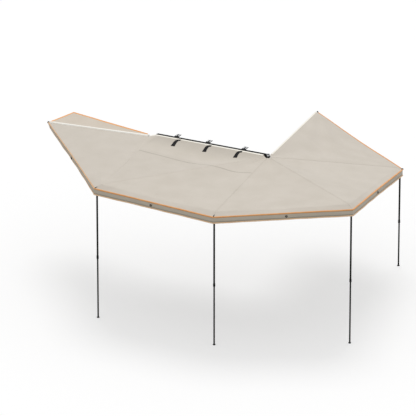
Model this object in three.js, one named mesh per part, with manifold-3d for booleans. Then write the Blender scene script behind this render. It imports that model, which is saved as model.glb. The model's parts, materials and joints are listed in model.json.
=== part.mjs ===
// Vehicle side awning that swings open round one hub: rail, five rafters, four legs and a fan of cloth.
// Millimetres, +Z up, +X to the rear of the vehicle, -Y away from its side.
// The origin is the middle of the flat face under the middle rack bracket.
import * as THREE from 'three';
import { mergeVertices } from 'three/addons/utils/BufferGeometryUtils.js';
import Module from 'manifold-3d';

const wasm = await Module();
wasm.setup();

// The rail's top stands above the ground, and the corners of the canopy lie below it.
// Bearings are turned from straight ahead, out and round to the back.
const railTopHeight = 2150;
const bracketFaceDrop = 20;
const bearing1 = 50;
const bearing2 = 95.2;
const bearing3 = 146.7;
const bearing4 = 228.3;
const bearing5 = 276.8;
const reach1 = 2850;
const reach2 = 2318;
const reach3 = 2431;
const reach4 = 2241;
const reach5 = 2385;
const cornerDrop1 = 32;
const cornerDrop2 = 66;
const cornerDrop3 = -28;
const cornerDrop4 = 550;
const cornerDrop5 = 170;

// Rail
const railLength = 1868;
const railDepth = 70;
const railWall = 3;
const railRearSetback = 62;
const railFrontSetback = 60;
const slotMouth = 9;
const slotWidth = 18;
const slotDepth = 9;
const slotLip = 3;
const slotInset = 32;
const trackRadius = 8;
const trackBore = 4.5;
const trackMouth = 3.4;
const trackRise = 7;

// Rack brackets
const bracketPitchFront = 533;
const bracketPitchRear = 609;
const bracketWidth = 70;
const bracketPlate = 6;
const bracketReach = 140;
const bracketDrop = 85;
const bracketFaceSetback = 85;
const gussetWidth = 5;
const gussetReach = 60;
const bracketSlotLength = 26;
const bracketSlotWidth = 9;
const bracketSlotSpacing = 36;
const bracketSlotReach = 110;

// Hub
const kingOffset = 1103;
const knucklePitch = 25.5;
const knuckleCount = 5;
const eyeRadius = 22;
const kingRadius = 8;
const hubPlate = 6;
const hubPlateRadius = 26;
const hubWebDepth = 25;
const hubCapRadius = 36;
const hubCapHeight = 20;
const hubCapWall = 4;
const hubCapNotch = 5;
const hubCapNotches = 8;
const boltHeadRadius = 14;
const boltHeadHeight = 8;
const nutAcross = 30;
const nutHeight = 12;
const boltTail = 16;

// Rafters: crowned hollow section
const rafterWidth = 25;
const rafterHeight = 22;
const rafterWall = 2;
const knuckleLength = 60;
const slopeStart = 30;
const tongueLength = 60;
const tipLength = 110;
const tipDrop = 50;
const tipSetback = 20;
const tipFlange = 14;

// Leg hinge and legs
const pivotSetback = 45;
const pivotDrop = 31;
const eyeThickness = 12;
const legEyeRadius = 12;
const earThickness = 5;
const hingePinRadius = 4;
const pinHeadRadius = 6;
const pinHeadThickness = 2.5;
const outerRadius = 14;
const innerRadius = 12;
const tubeWall = 1.5;
const plugStart = 20;
const plugFlange = 4;
const plugLength = 40;
const outerLengthShare = 0.52;
const tubeOverlap = 150;
const collarRadius = 17.5;
const collarHeight = 52;
const collarLip = 12;
const collarGroove = 2;
const footRadius = 21;
const footHeight = 26;
const footPad = 9;
const footNeck = 15;
const footSpigot = 30;

// Front pole and its socket
const poleRadius = 12.5;
const poleWall = 1.5;
const poleOffset = 10;
const poleRootDrop = 16;
const poleTipReach = 3765;
const poleTipDrop = 105;
const socketRadius = 18;
const socketLength = 70;
const socketGrip = 55;
const socketPlate = 6;
const socketPlateHeight = 90;
const poleCapLength = 26;
const poleCapNose = 21;
const poleCapRadius = 14.5;
const sleeveSetback = 15;

// Cloth
const clothThickness = 3;
const clothGap = 0.9;
const clothStart = 44;
const clothStart5 = 92;
const apexRise = 10;
const tipLift = 3;
const panelSag = 45;
const edgeCurve = 14;
const edgeSagShare = 0.15;
const valanceDepth = 85;
const railSeamRear = 105;
const railSeamFront = 1925;
const seamSetback = 0.6;
const flapReach = 519;
const flapSetback = 155;
const flapRootReach = 55;
const flapRootSetback = 60;
const strapWidth = 38;
const strapThickness = 2;
const strapLength = 270;
const strapSetback = 16;
const strapLean = 40;
const strapLift = 0.7;
const strapRear = 496;
const strapPitch = 521;

// Clearances
const gap = 0.3;
const boreGap = 0.35;
const seamHalf = 0.25;
const overrun = 5;

// Counts
const roundSides = 24;
const smallSides = 16;
const notchSides = 8;
const nutSides = 6;
const arcSegments = 8;
const crownSteps = 5;
const panelColumns = 8;
const panelRowShares = [0, 0.15, 0.3, 0.45, 0.6, 0.75, 0.87, 0.95, 1];
const frontRowShares = [0, 0.12, 0.24, 0.36, 0.44, 0.47, 0.5, 0.58, 0.72, 0.86, 1];
const flapRowShares = [0, 0.2, 0.4, 0.6, 0.8, 1];
const shoulderShare = 0.95;
const railPartShare = 0.44;
const polePartShare = 0.5;
const bendShare = 0.9;
const valanceRowShares = [0.5, 1];
const strapRowShares = [0, 0.06, 0.12, 0.2, 0.3, 0.4, 0.55, 0.7, 0.85, 1];

const black = new THREE.MeshStandardMaterial({ color: 0x17181a, roughness: 0.55, metalness: 0.3 });
const plastic = new THREE.MeshStandardMaterial({ color: 0x111214, roughness: 0.6, metalness: 0 });
const steel = new THREE.MeshStandardMaterial({ color: 0xb9bcc0, roughness: 0.35, metalness: 0.9 });
const bare = new THREE.MeshStandardMaterial({ color: 0xc9cbcc, roughness: 0.4, metalness: 0.8 });
const cloth = new THREE.MeshStandardMaterial({ color: 0xd1cabd, roughness: 0.9, metalness: 0 });
const webbing = new THREE.MeshStandardMaterial({ color: 0x1c1c1d, roughness: 0.95, metalness: 0 });
const rubber = new THREE.MeshStandardMaterial({ color: 0x141414, roughness: 0.85, metalness: 0 });

const awning = new THREE.Group();

// Places that follow from the sizes
const railTop = bracketFaceDrop;
const ground = railTop - railTopHeight;
const railBack = -bracketFaceSetback;
const railFront = railBack - railDepth;
const railHeight = knucklePitch * knuckleCount;
const kingX = kingOffset;
const kingY = railFront - railFrontSetback;
const railRear = kingX - railRearSetback;
const railNose = railRear - railLength;
const crownTop = rafterHeight / 2;

const rafters = [
  {
    name: 'rafter_1',
    bearing: bearing1,
    reach: reach1,
    drop: cornerDrop1,
    level: 1,
    cloth: clothStart,
    leg: 'leg_1',
  },
  {
    name: 'rafter_2',
    bearing: bearing2,
    reach: reach2,
    drop: cornerDrop2,
    level: 2,
    cloth: clothStart,
    leg: 'leg_2',
  },
  {
    name: 'rafter_3',
    bearing: bearing3,
    reach: reach3,
    drop: cornerDrop3,
    level: 0,
    cloth: clothStart,
    leg: 'leg_3',
  },
  {
    name: 'rafter_4',
    bearing: bearing4,
    reach: reach4,
    drop: cornerDrop4,
    level: 4,
    cloth: clothStart,
    leg: 'leg_4',
  },
  {
    name: 'rafter_5',
    bearing: bearing5,
    reach: reach5,
    drop: cornerDrop5,
    level: 3,
    cloth: clothStart5,
    leg: null,
  },
];

function toSolid(geometry) {
  const plain = geometry.clone();
  plain.deleteAttribute('normal');
  plain.deleteAttribute('uv');
  const merged = mergeVertices(plain);
  return new wasm.Manifold(new wasm.Mesh({
    numProp: 3,
    vertProperties: new Float32Array(merged.attributes.position.array),
    triVerts: new Uint32Array(merged.index.array),
  }));
}

function toGeometry(solid) {
  const mesh = solid.getMesh();
  const geometry = new THREE.BufferGeometry();
  geometry.setAttribute('position', new THREE.BufferAttribute(new Float32Array(mesh.vertProperties), 3));
  geometry.setIndex(new THREE.BufferAttribute(new Uint32Array(mesh.triVerts), 1));
  geometry.computeVertexNormals();
  return geometry;
}

function join(...geometries) {
  return geometries.map(toSolid).reduce((whole, piece) => whole.add(piece));
}

function cut(solid, ...geometries) {
  return toGeometry(geometries.map(toSolid).reduce((rest, tool) => rest.subtract(tool), solid));
}

function addMesh(parent, name, geometry, material) {
  const mesh = new THREE.Mesh(geometry, material);
  mesh.name = name;
  parent.add(mesh);
  return mesh;
}

// Solids from profiles, each laid along the axis that it is named for
function extruded(shape, length) {
  return new THREE.ExtrudeGeometry(shape, { depth: length, bevelEnabled: false, curveSegments: arcSegments });
}

function alongX(shape, length, start = 0) {
  const turn = new THREE.Matrix4().makeBasis(
    new THREE.Vector3(0, 1, 0), new THREE.Vector3(0, 0, 1), new THREE.Vector3(1, 0, 0));
  return extruded(shape, length).applyMatrix4(turn).translate(start, 0, 0);
}

function alongY(shape, length, start) {
  return extruded(shape, length).rotateX(Math.PI / 2).translate(0, start + length, 0);
}

function alongZ(shape, length, start) {
  return extruded(shape, length).translate(0, 0, start);
}

function boxFrom(x0, x1, y0, y1, z0, z1) {
  const geometry = new THREE.BoxGeometry(x1 - x0, y1 - y0, z1 - z0);
  return geometry.translate((x0 + x1) / 2, (y0 + y1) / 2, (z0 + z1) / 2);
}

function uprightCylinder(radius, z0, z1, sides = roundSides) {
  const geometry = new THREE.CylinderGeometry(radius, radius, z1 - z0, sides);
  return geometry.rotateX(Math.PI / 2).translate(0, 0, (z0 + z1) / 2);
}

function crossCylinder(radius, length, x, z) {
  return new THREE.CylinderGeometry(radius, radius, length, smallSides).translate(x, 0, z);
}

// A turned piece from [radius, height] pairs, standing on +Z
function turned(points, sides = roundSides) {
  const profile = points.map(([radius, height]) => new THREE.Vector2(radius, height));
  return new THREE.LatheGeometry(profile, sides).rotateX(Math.PI / 2);
}

function ring(inner, outer, z0, z1, sides = roundSides) {
  return turned([[inner, z0], [outer, z0], [outer, z1], [inner, z1], [inner, z0]], sides);
}

function crownedShape(width, height, inset = 0) {
  const half = width / 2 - inset;
  const top = height / 2 - inset;
  const shape = new THREE.Shape();
  shape.moveTo(-half, -top);
  shape.lineTo(half, -top);
  for (let step = 0; step <= crownSteps; step += 1) {
    const angle = (Math.PI * step) / crownSteps;
    shape.lineTo(half * Math.cos(angle), top - half + half * Math.sin(angle));
  }
  return shape;
}

function hollowCrownedShape(width, height, wall) {
  const shape = crownedShape(width, height);
  shape.holes.push(new THREE.Path(crownedShape(width, height, wall).getPoints()));
  return shape;
}

function radians(degrees) {
  return (degrees * Math.PI) / 180;
}

// Rafter lines in the rafter's own frame: x out from the king bolt, z up
function levelHeight(rafter) {
  return railTop - knucklePitch * (rafter.level + 0.5);
}

function shoulder(rafter) {
  const height = railTop - rafter.drop + tipDrop - crownTop - clothGap - clothThickness;
  return { x: rafter.reach - tipLength, z: height };
}

function slopeOf(rafter) {
  const end = shoulder(rafter);
  return Math.atan2(end.z - levelHeight(rafter), end.x - slopeStart);
}

function tipSlope() {
  return Math.atan2(tipDrop, tipLength);
}

function axisHeight(rafter, x) {
  const end = shoulder(rafter);
  if (x > end.x) return end.z - (x - end.x) * Math.tan(tipSlope());
  return levelHeight(rafter) + Math.max(x - slopeStart, 0) * Math.tan(slopeOf(rafter));
}

function pivotPoint(rafter) {
  const x = rafter.reach - pivotSetback;
  return { x, z: axisHeight(rafter, x) - pivotDrop };
}

function sloped(geometry, x, z, slope) {
  return geometry.rotateY(-slope).translate(x, 0, z);
}

function makeKnuckle(rafter) {
  const level = levelHeight(rafter);
  const half = (knucklePitch - boreGap) / 2;
  const slope = slopeOf(rafter);
  const stub = (knuckleLength - slopeStart) / Math.cos(slope);
  const mitre = crownTop * Math.tan(Math.abs(slope) / 2);
  const body = join(
    uprightCylinder(eyeRadius, level - half, level + half),
    alongX(crownedShape(rafterWidth, rafterHeight), slopeStart).translate(0, 0, level),
    sloped(alongX(crownedShape(rafterWidth, rafterHeight), stub + mitre, -mitre), slopeStart, level, slope),
    sloped(alongX(crownedShape(rafterWidth, rafterHeight, rafterWall + gap), tongueLength, stub - gap),
      slopeStart, level, slope));
  return cut(body, uprightCylinder(kingRadius + boreGap, level - knucklePitch, level + knucklePitch));
}

function makeRafterTube(rafter) {
  const slope = slopeOf(rafter);
  const start = (knuckleLength - slopeStart) / Math.cos(slope) + gap;
  const end = (shoulder(rafter).x - slopeStart) / Math.cos(slope) - tipFlange;
  const section = hollowCrownedShape(rafterWidth, rafterHeight, rafterWall);
  return sloped(alongX(section, end - start, start), slopeStart, levelHeight(rafter), slope);
}

function earShape(rafter) {
  const pivot = pivotPoint(rafter);
  const shape = new THREE.Shape();
  const top = axisHeight(rafter, pivot.x + legEyeRadius) - crownTop / 2;
  shape.moveTo(pivot.x + legEyeRadius, top);
  shape.lineTo(pivot.x - legEyeRadius, top);
  shape.lineTo(pivot.x - legEyeRadius, pivot.z);
  shape.absarc(pivot.x, pivot.z, legEyeRadius, Math.PI, Math.PI * 2, false);
  return shape;
}

function makeTip(rafter) {
  const end = shoulder(rafter);
  const slope = slopeOf(rafter);
  const fall = -tipSlope();
  const length = (tipLength - tipSetback) / Math.cos(tipSlope());
  const mitre = crownTop * Math.tan((tipSlope() + slope) / 2);
  const section = crownedShape(rafterWidth, rafterHeight);
  const tongue = crownedShape(rafterWidth, rafterHeight, rafterWall + gap);
  const pieces = [
    sloped(alongX(tongue, tongueLength, -tongueLength), end.x, end.z, slope),
    sloped(alongX(section, tipFlange - gap + mitre, gap - tipFlange), end.x, end.z, slope),
    sloped(alongX(section, length + mitre, -mitre), end.x, end.z, fall),
  ];
  if (!rafter.leg) return toGeometry(join(...pieces));
  const inner = eyeThickness / 2 + gap;
  pieces.push(alongY(earShape(rafter), earThickness, inner));
  pieces.push(alongY(earShape(rafter), earThickness, -inner - earThickness));
  const pivot = pivotPoint(rafter);
  return cut(join(...pieces), crossCylinder(hingePinRadius + gap, rafterWidth * 2, pivot.x, pivot.z));
}

function makeHingePin() {
  const half = eyeThickness / 2 + gap + earThickness + gap;
  const head = half + pinHeadThickness;
  const profile = [[0, -head], [pinHeadRadius, -head], [pinHeadRadius, -half], [hingePinRadius, -half],
    [hingePinRadius, half], [pinHeadRadius, half], [pinHeadRadius, head], [0, head]];
  const points = profile.map(([radius, height]) => new THREE.Vector2(radius, height));
  return new THREE.LatheGeometry(points, smallSides);
}

// Legs hang from the hinge pin; their frame has its origin on the pin
function legSizes(rafter) {
  const length = pivotPoint(rafter).z - ground;
  const outerTop = -plugStart - plugFlange - gap;
  const outerEnd = outerTop - outerLengthShare * length;
  return { length, outerTop, outerEnd, innerTop: outerEnd + tubeOverlap, sole: -length };
}

function makeLegFitting() {
  const flangeTop = -plugStart;
  const flangeEnd = flangeTop - plugFlange;
  const body = join(
    crossCylinder(legEyeRadius, eyeThickness, 0, 0),
    boxFrom(gap - legEyeRadius, legEyeRadius - gap, -eyeThickness / 2, eyeThickness / 2, flangeTop - gap, 0),
    uprightCylinder(outerRadius, flangeEnd, flangeTop),
    uprightCylinder(outerRadius - tubeWall - 2 * gap, flangeEnd - plugLength, flangeEnd));
  return cut(body, crossCylinder(hingePinRadius + gap, eyeThickness * 2, 0, 0));
}

function makeCollar(leg) {
  const top = leg.outerEnd + collarHeight - collarLip;
  const seat = leg.outerEnd - gap;
  const end = leg.outerEnd - collarLip;
  const middle = (top + end) / 2;
  const bore = innerRadius + boreGap;
  const sleeve = outerRadius + boreGap;
  const neck = sleeve + collarGroove;
  return turned([[bore, end], [collarRadius - collarGroove, end], [collarRadius, end + collarLip / 2],
    [collarRadius, middle - collarGroove], [collarRadius - collarGroove, middle],
    [collarRadius, middle + collarGroove], [collarRadius, top - collarLip / 2], [neck, top],
    [sleeve, top], [sleeve, seat], [bore, seat], [bore, end]], smallSides);
}

function makeFoot(leg) {
  const sole = leg.sole;
  const top = sole + footHeight;
  const spigot = innerRadius - tubeWall - gap;
  return turned([[0, sole], [footRadius - collarGroove, sole], [footRadius, sole + footPad / 2],
    [footRadius, sole + footPad], [innerRadius, sole + footNeck], [innerRadius, top - gap],
    [spigot, top - gap], [spigot, top + footSpigot], [0, top + footSpigot]], smallSides);
}

function addLeg(parent, rafter) {
  const pivot = pivotPoint(rafter);
  const leg = legSizes(rafter);
  const frame = new THREE.Group();
  frame.position.set(pivot.x, 0, pivot.z);
  parent.add(frame);
  addMesh(frame, rafter.leg + '_fitting', makeLegFitting(), plastic);
  addMesh(frame, rafter.leg + '_outer_tube',
    ring(outerRadius - tubeWall, outerRadius, leg.outerEnd, leg.outerTop), black);
  addMesh(frame, rafter.leg + '_collar', makeCollar(leg), plastic);
  addMesh(frame, rafter.leg + '_inner_tube',
    ring(innerRadius - tubeWall, innerRadius, leg.sole + footHeight, leg.innerTop), black);
  addMesh(frame, rafter.leg + '_foot', makeFoot(leg), rubber);
}

for (const rafter of rafters) {
  const frame = new THREE.Group();
  frame.position.set(kingX, kingY, 0);
  frame.rotation.z = Math.PI + radians(rafter.bearing);
  awning.add(frame);
  addMesh(frame, rafter.name + '_tube', makeRafterTube(rafter), black);
  addMesh(frame, rafter.name + '_knuckle', makeKnuckle(rafter), black);
  addMesh(frame, rafter.name + '_tip', makeTip(rafter), plastic);
  if (rafter.leg) {
    const pivot = pivotPoint(rafter);
    addMesh(frame, rafter.leg + '_pin', makeHingePin().translate(pivot.x, 0, pivot.z), steel);
    addLeg(frame, rafter);
  }
}

// Rail: an extrusion with two bolt slots in its back and a track for the cloth along its outer top edge
function railShape() {
  const bottom = railTop - railHeight;
  const shape = new THREE.Shape();
  shape.moveTo(railFront, bottom);
  shape.lineTo(railBack, bottom);
  for (const centre of [bottom + slotInset, railTop - slotInset]) {
    const throat = railBack - slotLip;
    const floor = railBack - slotDepth;
    shape.lineTo(railBack, centre - slotMouth / 2);
    shape.lineTo(throat, centre - slotMouth / 2);
    shape.lineTo(throat, centre - slotWidth / 2);
    shape.lineTo(floor, centre - slotWidth / 2);
    shape.lineTo(floor, centre + slotWidth / 2);
    shape.lineTo(throat, centre + slotWidth / 2);
    shape.lineTo(throat, centre + slotMouth / 2);
    shape.lineTo(railBack, centre + slotMouth / 2);
  }
  shape.lineTo(railBack, railTop);
  const trackY = railFront + trackRadius;
  const trackZ = railTop + trackRise;
  const footing = Math.asin(trackRise / trackRadius);
  const lip = Math.asin(trackMouth / 2 / trackRadius);
  const throatTurn = Math.PI - Math.asin(trackMouth / 2 / trackBore);
  shape.lineTo(trackY + trackRadius * Math.cos(footing), railTop);
  shape.absarc(trackY, trackZ, trackRadius, -footing, Math.PI - lip, false);
  shape.absarc(trackY, trackZ, trackBore, throatTurn, -throatTurn, true);
  shape.absarc(trackY, trackZ, trackRadius, Math.PI + lip, Math.PI + footing, false);
  shape.lineTo(railFront, railTop - trackRise);
  return shape;
}

function railChamber() {
  const inner = railBack - slotDepth - railWall;
  const path = new THREE.Path();
  path.moveTo(railFront + railWall, railTop - railHeight + railWall);
  path.lineTo(inner, railTop - railHeight + railWall);
  path.lineTo(inner, railTop - railWall);
  path.lineTo(railFront + railWall, railTop - railWall);
  return path;
}

const railProfile = railShape();
railProfile.holes.push(railChamber());
addMesh(awning, 'rail', alongX(railProfile, railLength, railNose), black);

// Brackets: an angle bolted to the back of the rail, with a slotted foot that lies on the roof rack
function makeBracket(centre) {
  const side = bracketWidth / 2;
  const back = railBack + gap;
  const plateTop = bracketPlate;
  const footEnd = back + bracketReach;
  const gusset = new THREE.Shape();
  gusset.moveTo(back + bracketPlate / 2, bracketPlate / 2);
  gusset.lineTo(back + gussetReach, bracketPlate / 2);
  gusset.lineTo(back + bracketPlate / 2, -gussetReach);
  const ribs = [-side, side - gussetWidth].map((offset) => alongX(gusset, gussetWidth, centre + offset));
  const body = join(
    boxFrom(centre - side, centre + side, back, footEnd, 0, plateTop),
    boxFrom(centre - side, centre + side, back, back + bracketPlate, -bracketDrop, plateTop),
    ...ribs);
  const slots = [-1, 1].map((way) => {
    const x = centre + (way * bracketSlotSpacing) / 2;
    const y = back + bracketSlotReach;
    return boxFrom(x - bracketSlotWidth / 2, x + bracketSlotWidth / 2,
      y - bracketSlotLength / 2, y + bracketSlotLength / 2, -overrun, bracketPlate + overrun);
  });
  return cut(body, ...slots);
}

[['front', -bracketPitchFront], ['middle', 0], ['rear', bracketPitchRear]].forEach(([name, x]) => {
  addMesh(awning, 'rack_bracket_' + name, makeBracket(x), black);
});

// Hub bracket: two plates and a web, bolted to the end of the rail, holding the king bolt
function hubPlateShape() {
  const webFar = railRearSetback - gap;
  const webNear = webFar - hubWebDepth;
  const shape = new THREE.Shape();
  shape.moveTo(-webFar, railFrontSetback + railDepth);
  shape.lineTo(-webFar, railFrontSetback);
  shape.lineTo(-hubPlateRadius * Math.SQRT1_2, -hubPlateRadius * Math.SQRT1_2);
  shape.absarc(0, 0, hubPlateRadius, Math.PI * 1.25, Math.PI * 2.25, false);
  shape.lineTo(-webNear, railFrontSetback + railDepth);
  return shape;
}

function makeHubBracket() {
  const webFar = railRearSetback - gap;
  const webNear = webFar - hubWebDepth;
  const bottom = railTop - railHeight;
  const body = join(
    alongZ(hubPlateShape(), hubPlate, railTop),
    alongZ(hubPlateShape(), hubPlate, bottom - hubPlate),
    boxFrom(-webFar, -webNear, railFrontSetback, railFrontSetback + railDepth,
      bottom - hubPlate / 2, railTop + hubPlate / 2));
  const bore = uprightCylinder(kingRadius + boreGap, bottom - railHeight, railTop + railHeight);
  return cut(body, bore).translate(kingX, kingY, 0);
}

function makeKingBolt() {
  const seat = railTop + hubPlate + gap;
  const end = railTop - railHeight - hubPlate - boltTail;
  return turned([[0, end], [kingRadius, end], [kingRadius, seat], [boltHeadRadius, seat],
    [boltHeadRadius, seat + boltHeadHeight], [0, seat + boltHeadHeight]]).translate(kingX, kingY, 0);
}

function makeKingNut() {
  const top = railTop - railHeight - hubPlate - gap;
  const corner = nutAcross / 2 / Math.cos(Math.PI / nutSides);
  const nut = toSolid(uprightCylinder(corner, top - nutHeight, top, nutSides));
  return cut(nut, uprightCylinder(kingRadius + boreGap, top - nutHeight - overrun, top + overrun))
    .translate(kingX, kingY, 0);
}

function makeHubCap() {
  const seat = railTop + hubPlate + gap;
  const top = seat + hubCapHeight;
  const inside = boltHeadRadius + gap;
  const roof = seat + boltHeadHeight + gap;
  const dome = toSolid(turned([[0, roof], [inside, roof], [inside, seat], [hubCapRadius, seat],
    [hubCapRadius, seat + hubCapHeight / 2], [hubCapRadius - hubCapWall, top - hubCapWall],
    [hubCapRadius / 2, top - hubCapWall / 4], [0, top]]));
  const notches = [];
  for (let count = 0; count < hubCapNotches; count += 1) {
    const turn = (Math.PI * 2 * count) / hubCapNotches;
    notches.push(uprightCylinder(hubCapNotch, seat - overrun, top + overrun, notchSides)
      .translate(hubCapRadius * Math.cos(turn), hubCapRadius * Math.sin(turn), 0));
  }
  return cut(dome, ...notches).translate(kingX, kingY, 0);
}

addMesh(awning, 'hub_bracket', makeHubBracket(), black);
addMesh(awning, 'king_bolt', makeKingBolt(), steel);
addMesh(awning, 'king_nut', makeKingNut(), steel);
addMesh(awning, 'hub_cap', makeHubCap(), plastic);

// Front pole: it carries the front corner, and pushes into a socket on the nose of the rail
const poleY = kingY + poleOffset;
const poleRoot = new THREE.Vector3(railNose - socketPlate, poleY, railTop - poleRootDrop);
const poleTip = new THREE.Vector3(kingX - poleTipReach, poleY, railTop - poleTipDrop);
const poleLine = new THREE.Vector3().subVectors(poleTip, poleRoot);

function pointOnPole(distance) {
  return poleRoot.clone().addScaledVector(poleLine.clone().normalize(), distance);
}

// Turns a piece that stands on +Z so that it lies on the pole's line, a distance out from its root
function onPole(geometry, distance) {
  const up = new THREE.Vector3(0, 0, 1);
  const turn = new THREE.Quaternion().setFromUnitVectors(up, poleLine.clone().normalize());
  const start = pointOnPole(distance);
  return geometry.applyQuaternion(turn).translate(start.x, start.y, start.z);
}

function makeSocket() {
  const plate = boxFrom(railNose - gap - socketPlate, railNose - gap, poleY - socketRadius, railBack,
    railTop - socketPlateHeight, railTop);
  const barrel = onPole(uprightCylinder(socketRadius, -socketPlate / 2, socketLength), 0);
  const middle = railTop - socketPlateHeight / 2;
  const web = boxFrom(railNose - gap - socketLength / 2, railNose - gap - socketPlate / 2,
    poleY, railFront + railDepth / 2, middle, middle + socketPlate);
  const bore = onPole(uprightCylinder(poleRadius + boreGap + gap, socketPlate, socketLength + overrun), 0);
  return cut(join(plate, barrel, web), bore);
}

const poleStart = socketLength - socketGrip;
const poleLength = poleLine.length() - poleStart;
addMesh(awning, 'pole_socket', makeSocket(), black);
const poleTube = ring(poleRadius - poleWall, poleRadius, 0, poleLength);
addMesh(awning, 'front_pole', onPole(poleTube, poleStart), bare);
addMesh(awning, 'front_pole_cap', onPole(turned([
  [0, -poleCapLength], [poleRadius - poleWall - gap, -poleCapLength], [poleRadius - poleWall - gap, gap],
  [poleCapRadius, gap], [poleCapRadius, poleCapNose / 2], [poleCapRadius / 2, poleCapNose],
  [0, poleCapNose]], smallSides), poleLine.length()), plastic);

// Cloth. A panel lies between two edge lines, and a sheet is closed from a grid of top and under points.
function sheetFrom(grid) {
  const rows = grid.length;
  const columns = grid[0].length;
  const positions = [];
  for (const side of [0, 1]) {
    for (const row of grid) {
      for (const pair of row) positions.push(...pair[side].toArray());
    }
  }
  const indices = [];
  const at = (side, row, column) => side * rows * columns + row * columns + column;
  const quad = (a, b, c, d) => indices.push(a, b, c, a, c, d);
  for (let row = 0; row < rows - 1; row += 1) {
    for (let column = 0; column < columns - 1; column += 1) {
      quad(at(0, row, column), at(0, row + 1, column), at(0, row + 1, column + 1), at(0, row, column + 1));
      quad(at(1, row, column), at(1, row, column + 1), at(1, row + 1, column + 1), at(1, row + 1, column));
    }
    quad(at(0, row, 0), at(1, row, 0), at(1, row + 1, 0), at(0, row + 1, 0));
    const last = columns - 1;
    quad(at(0, row, last), at(0, row + 1, last), at(1, row + 1, last), at(1, row, last));
  }
  for (let column = 0; column < columns - 1; column += 1) {
    const last = rows - 1;
    quad(at(0, 0, column), at(0, 0, column + 1), at(1, 0, column + 1), at(1, 0, column));
    quad(at(0, last, column), at(1, last, column), at(1, last, column + 1), at(0, last, column + 1));
  }
  const geometry = new THREE.BufferGeometry();
  geometry.setAttribute('position', new THREE.BufferAttribute(new Float32Array(positions), 3));
  geometry.setIndex(indices);
  if (toSolid(geometry).volume() < 0) {
    for (let place = 0; place < indices.length; place += 3) {
      [indices[place], indices[place + 1]] = [indices[place + 1], indices[place]];
    }
    geometry.setIndex(indices);
  }
  geometry.computeVertexNormals();
  return geometry;
}

function bearingVector(bearing) {
  return new THREE.Vector3(-Math.cos(radians(bearing)), -Math.sin(radians(bearing)), 0);
}

// Top of the cloth over a rafter: share 0 is beside the hub and 1 at the corner
function ridgePoint(rafter, share, way) {
  const end = shoulder(rafter);
  const apex = railTop + apexRise;
  const top = end.z + (crownTop + clothGap) / Math.cos(tipSlope()) + tipLift + clothThickness;
  const inner = share <= shoulderShare;
  const along = inner ? share / shoulderShare : (share - shoulderShare) / (1 - shoulderShare);
  const x = inner ? rafter.cloth + (end.x - rafter.cloth) * along : end.x + tipLength * along;
  const height = inner ? apex + ((top - apex) * x) / end.x : top - tipDrop * along;
  const outward = bearingVector(rafter.bearing);
  const across = bearingVector(rafter.bearing + 90).multiplyScalar(seamHalf * way);
  return new THREE.Vector3(kingX, kingY, height).addScaledVector(outward, x).add(across);
}

// The fixed edge of the front panel: in the rail's track, over the socket, then along the front pole
function fixedEdgePoint(share) {
  if (share <= railPartShare) {
    const along = share / railPartShare;
    const x = kingX - railSeamRear + (railSeamRear - railSeamFront) * along;
    return new THREE.Vector3(x, railFront - seamSetback, railTop + trackRise + clothThickness / 2);
  }
  if (share < polePartShare) {
    const clear = socketRadius + clothThickness;
    return pointOnPole(socketLength + clothThickness).add(new THREE.Vector3(0, -clear, clear));
  }
  const along = (share - polePartShare) / (1 - polePartShare);
  const point = pointOnPole(socketLength + sleeveSetback).lerp(poleTip, along);
  return point.add(new THREE.Vector3(0, -poleRadius - seamSetback, clothThickness / 2));
}

// The front panel bends along the line from the nose of the rail to its corner
function frontRidgePoint(share) {
  const bend = share / railPartShare;
  const beyond = (share - railPartShare) / (1 - railPartShare);
  const ridgeShare = bend < 1 ? bend * bendShare : bendShare + (1 - bendShare) * beyond;
  return ridgePoint(rafters[0], ridgeShare, -1);
}

function frontSag(share) {
  const bend = Math.min(share / railPartShare, 1);
  return edgeSagShare + (1 - edgeSagShare) * Math.sin(Math.PI * bend) ** 2;
}

function fanSag(share) {
  return edgeSagShare + (1 - edgeSagShare) * 4 * share * (1 - share);
}

function panelPoint(panel, share, across) {
  const point = panel.start(share).lerp(panel.end(share), across);
  const belly = Math.sin(Math.PI * across) ** 2;
  point.z -= panelSag * belly * panel.sag(share);
  const inward = new THREE.Vector3(kingX - point.x, kingY - point.y, 0).normalize();
  return point.addScaledVector(inward, edgeCurve * belly * share ** 4);
}

function panelGrid(panel) {
  const down = new THREE.Vector3(0, 0, -clothThickness);
  const grid = panel.rows.map((share) => {
    const row = [];
    for (let column = 0; column <= panelColumns; column += 1) {
      const top = panelPoint(panel, share, column / panelColumns);
      row.push([top, top.clone().add(down)]);
    }
    return row;
  });
  const edge = grid[grid.length - 1].map((pair) => pair[0]);
  const chord = new THREE.Vector3().subVectors(edge[panelColumns], edge[0]).setZ(0).normalize();
  const normal = new THREE.Vector3(chord.y, -chord.x, 0);
  const inward = edge.map((point) => {
    const toHub = new THREE.Vector3(kingX - point.x, kingY - point.y, 0).normalize();
    return toHub.multiplyScalar(clothThickness / Math.abs(toHub.dot(normal)));
  });
  grid[grid.length - 1] = edge.map((point, column) => [point, point.clone().add(down).add(inward[column])]);
  for (const share of valanceRowShares) {
    grid.push(edge.map((point, column) => {
      const outer = point.clone().setZ(point.z - valanceDepth * share);
      return [outer, outer.clone().add(inward[column])];
    }));
  }
  return grid;
}

const frontPanel = addMesh(awning, 'canopy_front_panel', sheetFrom(panelGrid({
  rows: frontRowShares, sag: frontSag, start: fixedEdgePoint, end: frontRidgePoint,
})), cloth);
['side', 'corner', 'rear', 'tail'].forEach((name, index) => {
  addMesh(awning, 'canopy_' + name + '_panel', sheetFrom(panelGrid({
    rows: panelRowShares,
    sag: fanSag,
    start: (share) => ridgePoint(rafters[index], share, 1),
    end: (share) => ridgePoint(rafters[index + 1], share, -1),
  })), cloth);
});

// The flap fills the space between the front pole and the windscreen side
function flapPole(share) {
  const point = pointOnPole(socketLength + sleeveSetback).lerp(poleTip, share);
  return point.add(new THREE.Vector3(0, poleRadius + seamSetback, clothThickness / 2));
}

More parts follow.
